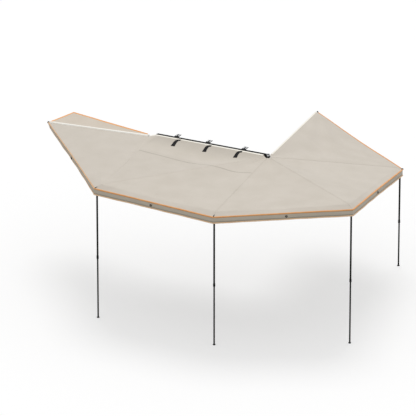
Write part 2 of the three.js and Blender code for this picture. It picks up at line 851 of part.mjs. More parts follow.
function flapEdge(share) {
  const near = flapPole(0).add(new THREE.Vector3(-flapRootSetback, flapRootReach, 0));
  const far = flapPole(1).add(new THREE.Vector3(flapSetback, flapReach, 0));
  return near.lerp(far, share);
}

const flapGrid = flapRowShares.map((share) => {
  const row = [];
  for (let column = 0; column <= panelColumns / 2; column += 1) {
    const top = flapPole(share).lerp(flapEdge(share), (column * 2) / panelColumns);
    row.push([top, top.clone().setZ(top.z - clothThickness)]);
  }
  return row;
});
addMesh(awning, 'canopy_front_flap', sheetFrom(flapGrid), cloth);

// Straps: sewn beside the rail and lying out over the front panel
function clothTop(x, y) {
  const ray = new THREE.Raycaster(new THREE.Vector3(x, y, railTopHeight), new THREE.Vector3(0, 0, -1));
  return ray.intersectObject(frontPanel)[0].point.z;
}

function makeStrap(x) {
  const sides = [-1, -0.5, 0, 0.5, 1];
  const grid = strapRowShares.map((share) => sides.map((side) => {
    const across = x + strapLean * share + (side * strapWidth) / 2;
    const y = railFront - strapSetback - strapLength * share;
    const under = new THREE.Vector3(across, y, clothTop(across, y) + strapLift);
    return [under.clone().setZ(under.z + strapThickness), under];
  }));
  return sheetFrom(grid);
}

awning.updateMatrixWorld(true);
['rear', 'middle', 'front'].forEach((name, index) => {
  addMesh(awning, 'strap_' + name, makeStrap(kingX - strapRear - strapPitch * index), webbing);
});

export default awning;
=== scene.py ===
import json
import math
import bmesh
import bpy
import numpy as np
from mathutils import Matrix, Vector, noise
from mathutils.bvhtree import BVHTree


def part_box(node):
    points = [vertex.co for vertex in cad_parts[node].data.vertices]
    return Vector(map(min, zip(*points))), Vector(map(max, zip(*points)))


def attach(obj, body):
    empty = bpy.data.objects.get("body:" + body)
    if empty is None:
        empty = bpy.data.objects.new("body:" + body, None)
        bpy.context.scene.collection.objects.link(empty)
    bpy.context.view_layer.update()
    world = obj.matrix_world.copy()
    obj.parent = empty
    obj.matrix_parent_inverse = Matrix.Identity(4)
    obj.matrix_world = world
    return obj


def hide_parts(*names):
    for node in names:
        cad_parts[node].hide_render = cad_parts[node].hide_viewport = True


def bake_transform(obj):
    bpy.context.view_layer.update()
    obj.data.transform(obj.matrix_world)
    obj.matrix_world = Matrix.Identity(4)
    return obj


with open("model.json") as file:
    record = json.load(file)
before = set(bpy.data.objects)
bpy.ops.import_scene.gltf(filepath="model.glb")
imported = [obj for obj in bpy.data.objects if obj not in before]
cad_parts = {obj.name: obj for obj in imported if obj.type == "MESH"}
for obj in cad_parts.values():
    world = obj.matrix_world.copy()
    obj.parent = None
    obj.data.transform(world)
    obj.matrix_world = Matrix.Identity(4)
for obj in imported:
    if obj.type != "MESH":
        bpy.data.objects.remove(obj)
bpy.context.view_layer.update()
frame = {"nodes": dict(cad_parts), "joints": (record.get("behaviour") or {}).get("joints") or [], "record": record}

scene = bpy.context.scene


# small helpers

def srgb(text):
    # hex as picked on screen, turned to the linear values that shaders want
    values = [int(text[i:i + 2], 16) / 255 for i in (1, 3, 5)]
    return [v / 12.92 if v <= 0.04045 else ((v + 0.055) / 1.055) ** 2.4 for v in values] + [1.0]


def rise(height):
    return Vector((0, 0, height))


def evenly(first, last, count):
    return [first + (last - first) * i / count for i in range(count + 1)]


def aheadAt(path, i):
    return (path[min(i + 1, len(path) - 1)] - path[max(i - 1, 0)]).normalized()


def sideAt(path, i):
    ahead = aheadAt(path, i)
    return Vector((-ahead.y, ahead.x, 0)).normalized()


# sockets holds values to set, and nodes or sockets to link from; own holds the node's own settings.
# A kind without Node in it is of the tree's own sort.
def addNode(tree, kind, sockets=None, stops=(), **own):
    node = tree.nodes.new(kind if "Node" in kind else tree.bl_idname.replace("Tree", "") + kind)
    for name, value in own.items():
        setattr(node, name, value)
    for name, value in (sockets or {}).items():
        if isinstance(value, bpy.types.Node):
            value = value.outputs[0]
        if isinstance(value, bpy.types.NodeSocket):
            tree.links.new(value, node.inputs[name])
        else:
            node.inputs[name].default_value = value
    if stops:
        ramp = node.color_ramp.elements
        while len(ramp) < len(stops):
            ramp.new(0.5)
        for element, (place, colour) in zip(ramp, stops):
            element.position = place
            element.color = srgb(colour)
    return node


def newMaterial(name):
    material = bpy.data.materials.new(name)
    material.use_nodes = True
    material.node_tree.nodes.clear()
    return material, material.node_tree


def linked(name, data):
    thing = bpy.data.objects.new(name, data)
    scene.collection.objects.link(thing)
    return thing


def meshObject(name, points, faces, material, uvs=None):
    mesh = bpy.data.meshes.new(name)
    mesh.from_pydata([tuple(p) for p in points], [], faces)
    mesh.materials.append(material)
    if uvs is not None:
        layer = mesh.uv_layers.new(name="UVMap")
        for loop in mesh.loops:
            layer.data[loop.index].uv = uvs[loop.vertex_index]
    for polygon in mesh.polygons:
        polygon.use_smooth = True
    mesh.update()
    return linked(name, mesh)


def outward(piece):
    work = bmesh.new()
    work.from_mesh(piece.data)
    if work.calc_volume(signed=True) < 0:
        bmesh.ops.reverse_faces(work, faces=work.faces)
    work.to_mesh(piece.data)
    work.free()
    return piece


# a closed sheet from rows of top points; u and v of the map are metres along the cloth
def clothFrom(name, rows, thickness, material, under=None):
    top = np.array([[tuple(p) for p in row] for row in rows])
    count, width = top.shape[:2]
    normal = np.cross(np.gradient(top, axis=1), np.gradient(top, axis=0))
    normal /= np.linalg.norm(normal, axis=2, keepdims=True) + 1e-12
    if under is not None:
        normal *= np.sign((normal * np.array(under)).sum(axis=2, keepdims=True) + 1e-12)
    elif normal[..., 2].mean() > 0:
        normal = -normal
    points = np.concatenate([top.reshape(-1, 3), (top + normal * thickness).reshape(-1, 3)])
    metres = []
    for axis in (1, 0):
        steps = np.diff(top, axis=axis, prepend=np.take(top, [0], axis))
        metres.append(np.cumsum(np.linalg.norm(steps, axis=2), axis))
    uvs = np.tile(np.stack(metres, 2).reshape(-1, 2), (2, 1))
    low = count * width
    faces = []
    for r in range(count - 1):
        for c in range(width - 1):
            i = r * width + c
            j = i + low
            faces += [(i, i + width, i + width + 1, i + 1), (j, j + 1, j + width + 1, j + width)]
    # the rim is walked once round and closed between the two faces
    rim = [r * width for r in range(count)] + [low - width + c for c in range(1, width)]
    rim += [r * width - 1 for r in range(count - 1, 0, -1)] + list(range(width - 2, 0, -1))
    faces += [(a, a + low, b + low, b) for a, b in zip(rim, rim[1:] + rim[:1])]
    piece = outward(meshObject(name, points, faces, material, uvs))
    piece.data.set_sharp_from_angle(angle=math.radians(50))  # or the cut edge would shade the cloth beside it
    return piece


# rings of points joined one to the next, closed by two middle points or else the last to the first
def ringMesh(name, rings, material, ends=(), uvs=None):
    count, sides = len(rings), len(rings[0])
    last = (count - 1) * sides
    faces = []
    for k in range(sides):
        after = (k + 1) % sides
        for i in range(count - 1 if ends else count):
            near, far = i * sides, (i + 1) % count * sides
            faces.append((near + k, near + after, far + after, far + k))
        if ends:
            faces += [(count * sides, after, k), (count * sides + 1, last + k, last + after)]
    points = [p for ring in rings for p in ring] + list(ends)
    return outward(meshObject(name, points, faces, material, uvs))


def circle(centre, across, up, radius, sides):
    turns = [2 * math.pi * k / sides for k in range(sides)]
    return [centre + across * radius(k) * math.cos(turn) + up * radius(k) * math.sin(turn)
            for k, turn in enumerate(turns)]


# a closed tube along points, with its own map in metres; a hollow one gets its inner wall too
def tubeFrom(name, path, radius, material, sides=10, inner=None, pucker=0.0):
    outer, bore, uvs = [], [], []
    normal, travelled = None, 0.0
    for i, point in enumerate(path):
        ahead = aheadAt(path, i)
        if normal is None:
            normal = ahead.orthogonal() if abs(ahead.z) > 0.9 else rise(1)
        normal = (normal - ahead * normal.dot(ahead)).normalized()
        travelled += (point - path[max(i - 1, 0)]).length
        side = ahead.cross(normal)
        outer.append(circle(point, normal, side, lambda k: radius + pucker * math.sin(i * 1.9 + k), sides))
        bore.insert(0, circle(point, normal, side, lambda k: inner or 0.0, sides))
        uvs.append([(k / sides * 2 * math.pi * radius, travelled) for k in range(sides)])
    if inner:
        uvs += uvs[::-1]
        return ringMesh(name, outer + bore, material, uvs=[uv for ring in uvs for uv in ring])
    uvs = [uv for ring in uvs for uv in ring] + [(0, 0), (0, travelled)]
    return ringMesh(name, outer, material, (path[0], path[-1]), uvs)


# Geometry Nodes: a tree with named inputs, and a plain mesh grown with it from a seed mesh
def growTree(name, build, *labels):
    tree = bpy.data.node_groups.new(name, "GeometryNodeTree")
    tree.interface.new_socket("Geometry", in_out="OUTPUT", socket_type="NodeSocketGeometry")
    kinds = {"Geometry": "Geometry", "Material": "Material", "Sides": "Int"}
    for label in ("Geometry",) + labels + ("Material",):
        kind = "NodeSocket" + kinds.get(label, "Float")
        tree.interface.new_socket(label, in_out="INPUT", socket_type=kind)
    start = addNode(tree, "NodeGroupInput").outputs
    whole = addNode(tree, "RealizeInstances", {"Geometry": build(tree, start)})
    dressed = addNode(tree, "SetMaterial", {"Geometry": whole, "Material": start["Material"]})
    addNode(tree, "NodeGroupOutput", {"Geometry": dressed})
    return tree


def grown(name, tree, paths, values, facing=None):
    # the points of a path are joined up, unless they stand alone and each faces a way
    edges, first = [], 0
    for path in [] if facing else paths:
        edges += [(first + i, first + i + 1) for i in range(len(path) - 1)]
        first += len(path)
    seed = bpy.data.meshes.new(name + "Seed")
    seed.from_pydata([tuple(p) for path in paths for p in path], edges, [])
    if facing:
        layer = seed.attributes.new("facing", "FLOAT_VECTOR", "POINT")
        layer.data.foreach_set("vector", [value for way in facing for value in way])
    carrier = linked(name + "Seed", seed)
    growth = carrier.modifiers.new("growth", "NODES")
    growth.node_group = tree
    for item in tree.interface.items_tree:
        if item.in_out == "INPUT" and item.name in values:
            growth[item.identifier] = values[item.name]
    bpy.context.view_layer.update()
    mesh = bpy.data.meshes.new_from_object(carrier.evaluated_get(bpy.context.evaluated_depsgraph_get()))
    mesh.name = name
    bpy.data.objects.remove(carrier)
    return outward(linked(name, mesh))


def ballNodes(tree, segments, rings, sizes):
    ball = addNode(tree, "MeshUVSphere", {"Segments": segments, "Rings": rings, "Radius": 1.0})
    size = addNode(tree, "ShaderNodeCombineXYZ", dict(zip("XYZ", sizes)))
    shaped = addNode(tree, "Transform", {"Geometry": ball, "Scale": size})
    return addNode(tree, "SetShadeSmooth", {"Geometry": shaped})


def stitchNodes(tree, start):
    # short threads, one every pitch, laid along the path
    path = addNode(tree, "MeshToCurve", {"Mesh": start["Geometry"]})
    spots = addNode(tree, "CurveToPoints", {"Curve": path, "Length": start["Pitch"]}, mode="LENGTH")
    turn = addNode(tree, "FunctionNodeAlignRotationToVector", {"Vector": spots.outputs["Tangent"]}, axis="X")
    thread = ballNodes(tree, 6, 4, (start["Half Length"], start["Thread"], start["Thread"]))
    return addNode(tree, "InstanceOnPoints", {"Points": spots, "Instance": thread, "Rotation": turn})


def beadNodes(tree, start):
    # a round bead along the path; its map holds metres round and along it
    path = addNode(tree, "MeshToCurve", {"Mesh": start["Geometry"]})
    ring = addNode(tree, "CurvePrimitiveCircle", {"Resolution": 10, "Radius": start["Radius"]})
    length = addNode(tree, "SplineParameter").outputs["Length"]
    curves, reads = [], []
    for label, curve in (("round", ring), ("along", path)):
        curves.append(addNode(tree, "StoreNamedAttribute",
                              {"Name": label, "Geometry": curve, "Value": length},
                              data_type="FLOAT", domain="POINT"))
        reads.append(addNode(tree, "InputNamedAttribute", {"Name": label}, data_type="FLOAT"))
    tube = addNode(tree, "CurveToMesh",
                   {"Fill Caps": True, "Curve": curves[1], "Profile Curve": curves[0]})
    pair = addNode(tree, "ShaderNodeCombineXYZ", {"X": reads[0], "Y": reads[1]})
    mapped = addNode(tree, "StoreNamedAttribute",
                     {"Name": "UVMap", "Geometry": tube, "Value": pair}, data_type="FLOAT2", domain="CORNER")
    return addNode(tree, "SetShadeSmooth", {"Geometry": mapped})


def facedNodes(tree, start, shape):
    facing = addNode(tree, "InputNamedAttribute", {"Name": "facing"}, data_type="FLOAT_VECTOR")
    turn = addNode(tree, "FunctionNodeAlignRotationToVector", {"Vector": facing}, axis="Z")
    return addNode(tree, "InstanceOnPoints",
                   {"Points": start["Geometry"], "Instance": shape, "Rotation": turn})


def boltNodes(tree, start):
    # a washer and a head on it, standing on the point along its facing, a tenth of a millimetre clear of it
    parts = addNode(tree, "JoinGeometry")
    for sides, part, foot in ((28, "Washer", 0.0), (start["Sides"], "Head", start["Washer Height"])):
        high = start[part + " Height"]
        can = addNode(tree, "MeshCylinder",
                      {"Vertices": sides, "Radius": start[part + " Radius"], "Depth": high})
        half = addNode(tree, "ShaderNodeMath", {0: high, 1: 0.5, 2: 0.0001}, operation="MULTIPLY_ADD")
        middle = addNode(tree, "ShaderNodeMath", {0: half, 1: foot}, operation="ADD")
        place = addNode(tree, "ShaderNodeCombineXYZ", {"Z": middle})
        moved = addNode(tree, "Transform", {"Geometry": can, "Translation": place})
        tree.links.new(moved.outputs[0], parts.inputs[0])
    return facedNodes(tree, start, parts)


def rivetNodes(tree, start):
    dome = ballNodes(tree, 14, 8, (start["Radius"], start["Radius"], start["Height"]))
    return facedNodes(tree, start, dome)


def loopNodes(tree, start):
    # flat bands closed round a tube that runs along the facing
    flats = [addNode(tree, "CurvePrimitiveQuadrilateral",
                     {"Width": start[wide], "Height": start[high]}, mode="RECTANGLE")
             for wide, high in (("Width", "Height"), ("Thickness", "Band"))]
    soft = addNode(tree, "FilletCurve",
                   {"Count": 5, "Curve": flats[0], "Radius": start["Corner"]}, mode="POLY")
    loop = addNode(tree, "CurveToMesh", {"Curve": soft, "Profile Curve": flats[1]})
    return facedNodes(tree, start, loop)


boltLabels = ("Washer Radius", "Washer Height", "Head Radius", "Head Height", "Sides")
stitchTree = growTree("stitchesAlongPath", stitchNodes, "Pitch", "Half Length", "Thread")
beadTree = growTree("beadAlongPath", beadNodes, "Radius")
boltTree = growTree("boltsOnPoints", boltNodes, *boltLabels)
rivetTree = growTree("rivetsOnPoints", rivetNodes, "Radius", "Height")
loopTree = growTree("loopsRoundTube", loopNodes, "Width", "Height", "Corner", "Thickness", "Band")
print("node trees ready")


# Hard finishes. Each noise is scale, detail and harshness, and the first one tints the surface.
# rough is which noise drives it, lowest and highest; relief is which noise, strength and metres.
def hardMaterial(name, tones, noises, sockets, rough=None, relief=None, stretch=None):
    material, tree = newMaterial(name)
    place = addNode(tree, "TexCoord").outputs["Object"]
    if stretch:
        place = addNode(tree, "Mapping", {"Scale": stretch, "Vector": place})
    grains = [addNode(tree, "TexNoise",
                      {"Vector": place, "Scale": scale, "Detail": detail, "Roughness": harsh})
              for scale, detail, harsh in noises]
    sockets["Base Color"] = addNode(tree, "ValToRGB", {"Fac": grains[0]}, tones)
    if rough:
        which, low, high = rough
        sockets["Roughness"] = addNode(tree, "MapRange",
                                       {"To Min": low, "To Max": high, "Value": grains[which]})
    if relief:
        which, strength, depth = relief
        sockets["Normal"] = addNode(tree, "Bump",
                                    {"Strength": strength, "Distance": depth, "Height": grains[which]})
    shader = addNode(tree, "BsdfPrincipled", sockets)
    addNode(tree, "OutputMaterial", {"Surface": shader})
    return material


# Powder coated aluminium: near black, satin, with the fine orange peel of a baked coat
powderCoat = hardMaterial("powderCoatedAluminiumBlack", [(0.35, "#0d0e0f"), (0.72, "#161719")],
                          [(9.0, 5.0, 0.6), (420.0, 2.0, 0.5)], {"Specular IOR Level": 0.12},
                          rough=(0, 0.46, 0.62), relief=(1, 0.12, 0.0004))
# Black glass-filled nylon, moulded: duller than the coat, with a spark-eroded grain
nylon = hardMaterial("glassFilledNylonBlack", [(0.4, "#0c0d0e"), (0.75, "#151618")],
                     [(30.0, 4.0, 0.5), (900.0, 3.0, 0.5)], {"Specular IOR Level": 0.16},
                     rough=(1, 0.5, 0.68), relief=(1, 0.25, 0.0003))
# Zinc plated steel: bright, faintly mottled by the plating bath
zincSteel = hardMaterial("zincPlatedSteel", [(0.3, "#dddfe1"), (0.7, "#f3f4f5")], [(160.0, 3.0, 0.5)],
                         {"Metallic": 0.7}, rough=(0, 0.34, 0.50))
# Drawn aluminium tube, mill finish: fine lines left by the die
drawnAluminium = hardMaterial("drawnAluminiumTube", [(0.3, "#bfc1c2"), (0.7, "#dcdddd")], [(1.0, 3.0, 0.5)],
                              {"Metallic": 1.0}, rough=(0, 0.28, 0.42), stretch=(2.0, 600.0, 600.0))
# Moulded rubber: matt, with dried dust in its grain
footRubber = hardMaterial("mouldedRubber", [(0.4, "#121212"), (0.8, "#2b2926")], [(60.0, 6.0, 0.5)],
                          {"Roughness": 0.86}, relief=(0, 0.4, 0.0006))
# Bonded polyester thread, a little darker than the cloth
sewingThread = hardMaterial("bondedPolyesterThread", [(0.35, "#b4ac9d"), (0.7, "#c5beb0")],
                            [(300.0, 2.0, 0.5)], {"Roughness": 0.7})


# Woven cloth shows its threads as a basket of crossing ridges. threadGap is metres between drawn threads.
def wovenMaterial(name, dark, pale, threadGap=0.005, depth=0.0004, roughness=0.88, mottle=3.0, sheen=0.15,
                  railShade=None):
    material, tree = newMaterial(name)
    cloth = addNode(tree, "TexCoord").outputs
    split = addNode(tree, "SeparateXYZ", {"Vector": cloth["UV"]}).outputs
    threads = []
    for axis in ("X", "Y"):
        turn = addNode(tree, "Math", {0: split[axis], 1: 2 * math.pi / threadGap}, operation="MULTIPLY")
        threads.append(addNode(tree, "Math", {0: turn}, operation="SINE"))
    weave = addNode(tree, "Math", {0: threads[0], 1: threads[1]}, operation="MULTIPLY")
    cloud, fibre = [addNode(tree, "TexNoise",
                            {"Vector": cloth["Object"], "Scale": scale, "Detail": detail, "Roughness": harsh})
                    for scale, detail, harsh in ((mottle, 5.0, 0.55), (55.0, 4.0, 0.7))]
    blend = addNode(tree, "Math", {0: fibre, 1: 0.3, 2: cloud}, operation="MULTIPLY_ADD")
    tint = addNode(tree, "ValToRGB", {"Fac": blend}, [(0.42, dark), (0.9, pale)])
    if railShade:
        # painted shade: the cloth is drawn darker where it leaves the rail, fading out towards the seam
        spans = (("X", 0.0, railShade["span"]), ("Y", railShade["length"], railShade["fadeEnd"]))
        reach = [addNode(tree, "MapRange", {"From Min": low, "From Max": high, "Value": split[axis]})
                 for axis, low, high in spans]
        most = addNode(tree, "Math", {0: reach[0], 1: reach[1]}, operation="MAXIMUM")
        shade = addNode(tree, "ValToRGB", {"Fac": most}, railShade["tones"])
        tint = addNode(tree, "Mix", {0: 1.0, 6: tint, 7: shade},
                       data_type="RGBA", blend_type="MULTIPLY").outputs[2]
    height = addNode(tree, "Math", {0: fibre, 1: 0.6, 2: weave}, operation="MULTIPLY_ADD")
    bump = addNode(tree, "Bump", {"Strength": 0.5, "Distance": depth, "Height": height})
    shader = addNode(tree, "BsdfPrincipled", {"Base Color": tint, "Normal": bump, "Roughness": roughness,
                                              "Sheen Weight": sheen, "Specular IOR Level": 0.25})
    addNode(tree, "OutputMaterial", {"Surface": shader})
    return material


# Coated polyester and cotton canvas, plain woven. Its real threads are 0.5 mm apart, drawn at 5 mm to show.
canvas = wovenMaterial("coatedCanvasStone", "#cdc5b9", "#d4ccc1")
# The same on the front panel, with painted shade on the strip beside the rail
frontCanvas = wovenMaterial("coatedCanvasRailSide", "#cec6ba", "#d5cdc2", railShade={
    "span": 0.70, "length": 1.72, "fadeEnd": 1.97,
    "tones": [(0.0, "#e6e6e4"), (0.28, "#f0f0ef"), (0.55, "#fbfbfa"), (0.86, "#ffffff"), (0.93, "#fbfbfb")]})
# The same canvas on the skirt, which hangs out of the light
skirtCanvas = wovenMaterial("coatedCanvasSkirt", "#cdc3b2", "#d6cdbd")
# The skirt's hem is turned up twice, and is drawn darker: painted shade along the strip just above the foot tape
skirtHemShade = wovenMaterial("skirtHemPaintedShade", "#aea495", "#b8ae9f")
# Where two or more layers are felled together the cloth lies a shade darker
seamCanvas = wovenMaterial("felledSeamCanvas", "#cac2b6", "#d2cabf")
# The seam along the rail is folded flat over itself, four layers thick; its grey is painted shade, standing in for
# the shaded fold along it
railSeamShade = wovenMaterial("flatSeamPaintedShade", "#b9b2a7", "#c1baae")
# The flap is cut from a warmer roll
flapCanvas = wovenMaterial("coatedCanvasWarm", "#cfc3b4", "#d6ccbe")
# The hems beside the rail and at the rear edge are doubled and unworn, so paler and smoother
hemCanvas = wovenMaterial("doubledCanvasCream", "#f5f0e4", "#fdfaf0", depth=0.0003, roughness=0.85)
# The pole's sleeve, and the hem that runs into it, have kept their first white
sleeveCanvas = wovenMaterial("doubledCanvasWhite", "#fbf8ef", "#fffdf8", depth=0.0003, roughness=0.85)
# Polyester binding tape, woven with ribs across it: apricot
bindingTape = wovenMaterial("ribbedBindingApricot", "#f1a966", "#f9c084", 0.004, 0.0003, 0.8, 8.0)
# The tape along the front edge has gone dull in the sun
sunnedTape = wovenMaterial("ribbedBindingSunned", "#d8ac82", "#e8c49b", 0.004, 0.0003, 0.82, 8.0)
# The lower tape is drawn paler than the upper: painted light, standing in for the light that the protruding foot
# catches
footTapeLit = wovenMaterial("ribbedBindingPaintedLight", "#f6cfa2", "#fce2c2", 0.004, 0.0003, 0.82, 8.0)
# Polypropylene webbing, black, with a coarse herringbone that is drawn at 6 mm
webbing = wovenMaterial("polypropyleneWebbing", "#0b0b0c", "#1a1a1b", 0.006, 0.0008, 0.88, 12.0, 0.02)

finishOf = {
    "black_paint": powderCoat, "black_plastic": nylon, "steel": zincSteel, "pole_metal": drawnAluminium,
    "canopy_cloth": canvas, "webbing": webbing, "rubber": footRubber,
}
for entry in frame["record"]["subparts"]:
    solid = frame["nodes"][entry["node"]]
    solid.data.materials.clear()
    solid.data.materials.append(finishOf[entry["material_slot"]])
print("materials ready")

# The awning's layout, from its own joints and the sizes that the cloth follows
king = Vector(next(joint for joint in frame["joints"] if joint["name"] == "rafter_1_swing")["pos_m"])
railLow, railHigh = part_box("rail")
railTop = king.z
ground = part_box("leg_1_foot")[0].z

fan = {
    "apexRise": 0.010, "tipLength": 0.110, "tipDrop": 0.050, "rafterTop": 0.011, "cover": 0.0009,
    "tipLift": 0.003, "cadCloth": 0.003, "shoulderShare": 0.95, "sag": 0.045, "edgeSag": 0.15,
    "edgeCurve": 0.014, "soften": 0.017, "softReach": 0.16, "thickness": 0.0012, "start": 0.044,
    "lastStart": 0.092, "pitch": 0.0255, "axisStart": 0.030,
}
rafters = [
    {"name": "rafter_1", "bearing": 50.0, "reach": 2.850, "corner": 2.118, "level": 1},
    {"name": "rafter_2", "bearing": 95.2, "reach": 2.318, "corner": 2.084, "level": 2},
    {"name": "rafter_3", "bearing": 146.7, "reach": 2.431, "corner": 2.178, "level": 0},
    {"name": "rafter_4", "bearing": 228.3, "reach": 2.241, "corner": 1.600, "level": 4},
    {"name": "rafter_5", "bearing": 276.8, "reach": 2.385, "corner": 1.980, "level": 3},
]
tipSlope = math.atan2(fan["tipDrop"], fan["tipLength"])
for rafter in rafters:
    rafter["start"] = fan["lastStart"] if rafter is rafters[-1] else fan["start"]
    rafter["shoulder"] = rafter["reach"] - fan["tipLength"]
    axis = ground + rafter["corner"] + fan["tipDrop"] - fan["rafterTop"] - fan["cover"] - fan["cadCloth"]
    lift = (fan["rafterTop"] + fan["cover"]) / math.cos(tipSlope) + fan["tipLift"] + fan["cadCloth"]
    rafter["shoulderTop"] = axis + lift
    rafter["axisStart"] = (fan["axisStart"], railTop - fan["pitch"] * (rafter["level"] + 0.5))
    rafter["axisEnd"] = (rafter["shoulder"], axis)
    turn = math.radians(rafter["bearing"])
    rafter["way"] = Vector((-math.cos(turn), -math.sin(turn), 0))
    rafter["across"] = Vector((math.sin(turn), -math.cos(turn), 0))


def ridge(rafter, share, aside=0.0):
    apex = railTop + fan["apexRise"]
    split = fan["shoulderShare"]
    if share <= split:
        reach = rafter["start"] + (rafter["shoulder"] - rafter["start"]) * share / split
        height = apex + (rafter["shoulderTop"] - apex) * reach / rafter["shoulder"]
    else:
        along = (share - split) / (1 - split)
        reach = rafter["shoulder"] + fan["tipLength"] * along
        height = rafter["shoulderTop"] - fan["tipDrop"] * along
    flat = Vector((king.x, king.y, 0)) + rafter["way"] * reach + rafter["across"] * aside
    return Vector((flat.x, flat.y, height))


def ridgePath(rafter, piece, count, aside=0.0):
    # a piece's settings say from which share of the ridge to which one it lies
    return [ridge(rafter, share, aside) for share in evenly(piece["from"], piece["to"], count)]


# The front panel's fixed edge runs in the rail's track, over the pole's socket and along the pole.
# The parts are shares of the edge: the track ends, the highest point over the socket, the pole starts.
frontEdge = {
    "trackRear": 0.105, "trackFront": 1.925, "trackOut": 0.0006, "trackRise": 0.0085, "socketEnd": 0.073,
    "socketClear": 0.021, "sleeveStart": 0.085, "poleOut": 0.0131, "poleUp": 0.0015,
    "railPart": 0.44, "socketPart": 0.47, "polePart": 0.5, "bendShare": 0.9,
}
poleRoot = Vector((railLow.x - 0.006, king.y + 0.010, railTop - 0.016))
poleTip = Vector((king.x - 3.765, king.y + 0.010, railTop - 0.105))
poleWay = (poleTip - poleRoot).normalized()
sleeveRoot = poleRoot + poleWay * frontEdge["sleeveStart"]


def fixedEdge(share):
    railPart, socketPart, polePart = [frontEdge[part] for part in ("railPart", "socketPart", "polePart")]
    if share <= railPart:
        run = (frontEdge["trackFront"] - frontEdge["trackRear"]) * (share / railPart)
        return Vector((king.x - frontEdge["trackRear"] - run, railLow.y - frontEdge["trackOut"],
                       railTop + frontEdge["trackRise"]))
    clear = frontEdge["socketClear"]
    over = poleRoot + poleWay * frontEdge["socketEnd"] + Vector((0, -clear, clear))
    out = Vector((0, -frontEdge["poleOut"], frontEdge["poleUp"]))
    if share <= socketPart:
        return fixedEdge(railPart).lerp(over, (share - railPart) / (socketPart - railPart))
    if share < polePart:
        return over.lerp(sleeveRoot + out, (share - socketPart) / (polePart - socketPart))
    return sleeveRoot.lerp(poleTip, (share - polePart) / (1 - polePart)) + out


def frontRidge(share):
    # the cloth is cut so that the first 44% of the fixed edge stands across from 90% of the ridge
    bend = share / frontEdge["railPart"]
    beyond = (share - frontEdge["railPart"]) / (1 - frontEdge["railPart"])
    first = frontEdge["bendShare"]
    return ridge(rafters[0], bend * first if bend < 1 else first + (1 - first) * beyond, -0.0001)


def frontSag(share):
    bend = min(share / frontEdge["railPart"], 1)
    return fan["edgeSag"] + (1 - fan["edgeSag"]) * math.sin(math.pi * bend) ** 2


def fanSag(share):
    return fan["edgeSag"] + (1 - fan["edgeSag"]) * 4 * share * (1 - share)


# Soft folds: tension folds that spread from each outer corner and die out, and a slow unevenness over all
wrinkles = {"slow": 0.0035, "slowSize": 0.45, "fineShare": 0.35, "fineStretch": 1.6, "finePace": 2.2,
            "cornerFold": 0.011, "cornerReach": 1.9, "cornerCount": 17, "seed": 4.7, "seedStep": 3.1}


def ruffle(point, share, across, panel):
    seed = panel["seed"]
    slow = noise.noise(Vector((point.x, point.y, seed)) / wrinkles["slowSize"])
    stretch = wrinkles["fineStretch"]
    fine = noise.noise(Vector((point.x * stretch, point.y * stretch, seed + 9.0)) * wrinkles["finePace"])
    fold = 0.0
    for tip in (panel["start"](1.0), panel["end"](1.0)):
        away = point - tip
        reach = math.hypot(away.x, away.y)
        fade = max(0.0, 1 - reach / wrinkles["cornerReach"])
        fold += math.sin(math.atan2(away.y, away.x) * wrinkles["cornerCount"] + seed) * reach * fade
    edge = min(1.0, min(across, 1 - across) * 9) * min(1.0, share * 5)
    uneven = (slow + fine * wrinkles["fineShare"]) * wrinkles["slow"]
    return (uneven + fold * wrinkles["cornerFold"] * panel["folds"]) * edge


panels = [
    {"name": "canopyFrontPanel", "node": "canopy_front_panel", "a": "rail_frame", "b": "rafter_1",
     "from": 0.0, "to": 50.0, "start": fixedEdge, "end": frontRidge, "sag": frontSag, "hubEdge": False,
     "folds": 0.5},
]
for first, second, name in zip(rafters, rafters[1:], ("side", "corner", "rear", "tail")):
    panels.append({
        "name": "canopy" + name.capitalize() + "Panel", "node": "canopy_" + name + "_panel",
        "a": first["name"], "b": second["name"], "from": first["bearing"], "to": second["bearing"],
        "start": lambda s, r=first: ridge(r, s, 0.0001), "end": lambda s, r=second: ridge(r, s, -0.0001),
        "sag": fanSag, "hubEdge": True, "folds": 1.3 if name == "tail" else 0.6,
    })


def panelPoint(panel, share, across):
    point = panel["start"](share).lerp(panel["end"](share), across)
    belly = math.sin(math.pi * across) ** 2
    point.z -= fan["sag"] * belly * panel["sag"](share)
    if panel["hubEdge"]:
        # between the rafters the cloth bends down to the edge more softly than over their tips
        span = 1 - fan["shoulderShare"] if share > fan["shoulderShare"] else fan["softReach"]
        near = max(0.0, 1 - abs(share - fan["shoulderShare"]) / span)
        point.z -= fan["soften"] * math.sin(math.pi * across) * near * near * (3 - 2 * near)
    inward = Vector((king.x - point.x, king.y - point.y, 0)).normalized()
    point += inward * fan["edgeCurve"] * belly * share ** 4
    point.z += ruffle(point, share, across, panel)
    return point


# A piece on a panel has its place baked into its mesh
def foldFan(piece):
    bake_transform(piece)


def fasten(piece, on):
    # on a body, which is given by name, a piece rides stiffly; on a panel its place is baked in
    if isinstance(on, str):
        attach(piece, on)
    else:
        foldFan(piece)


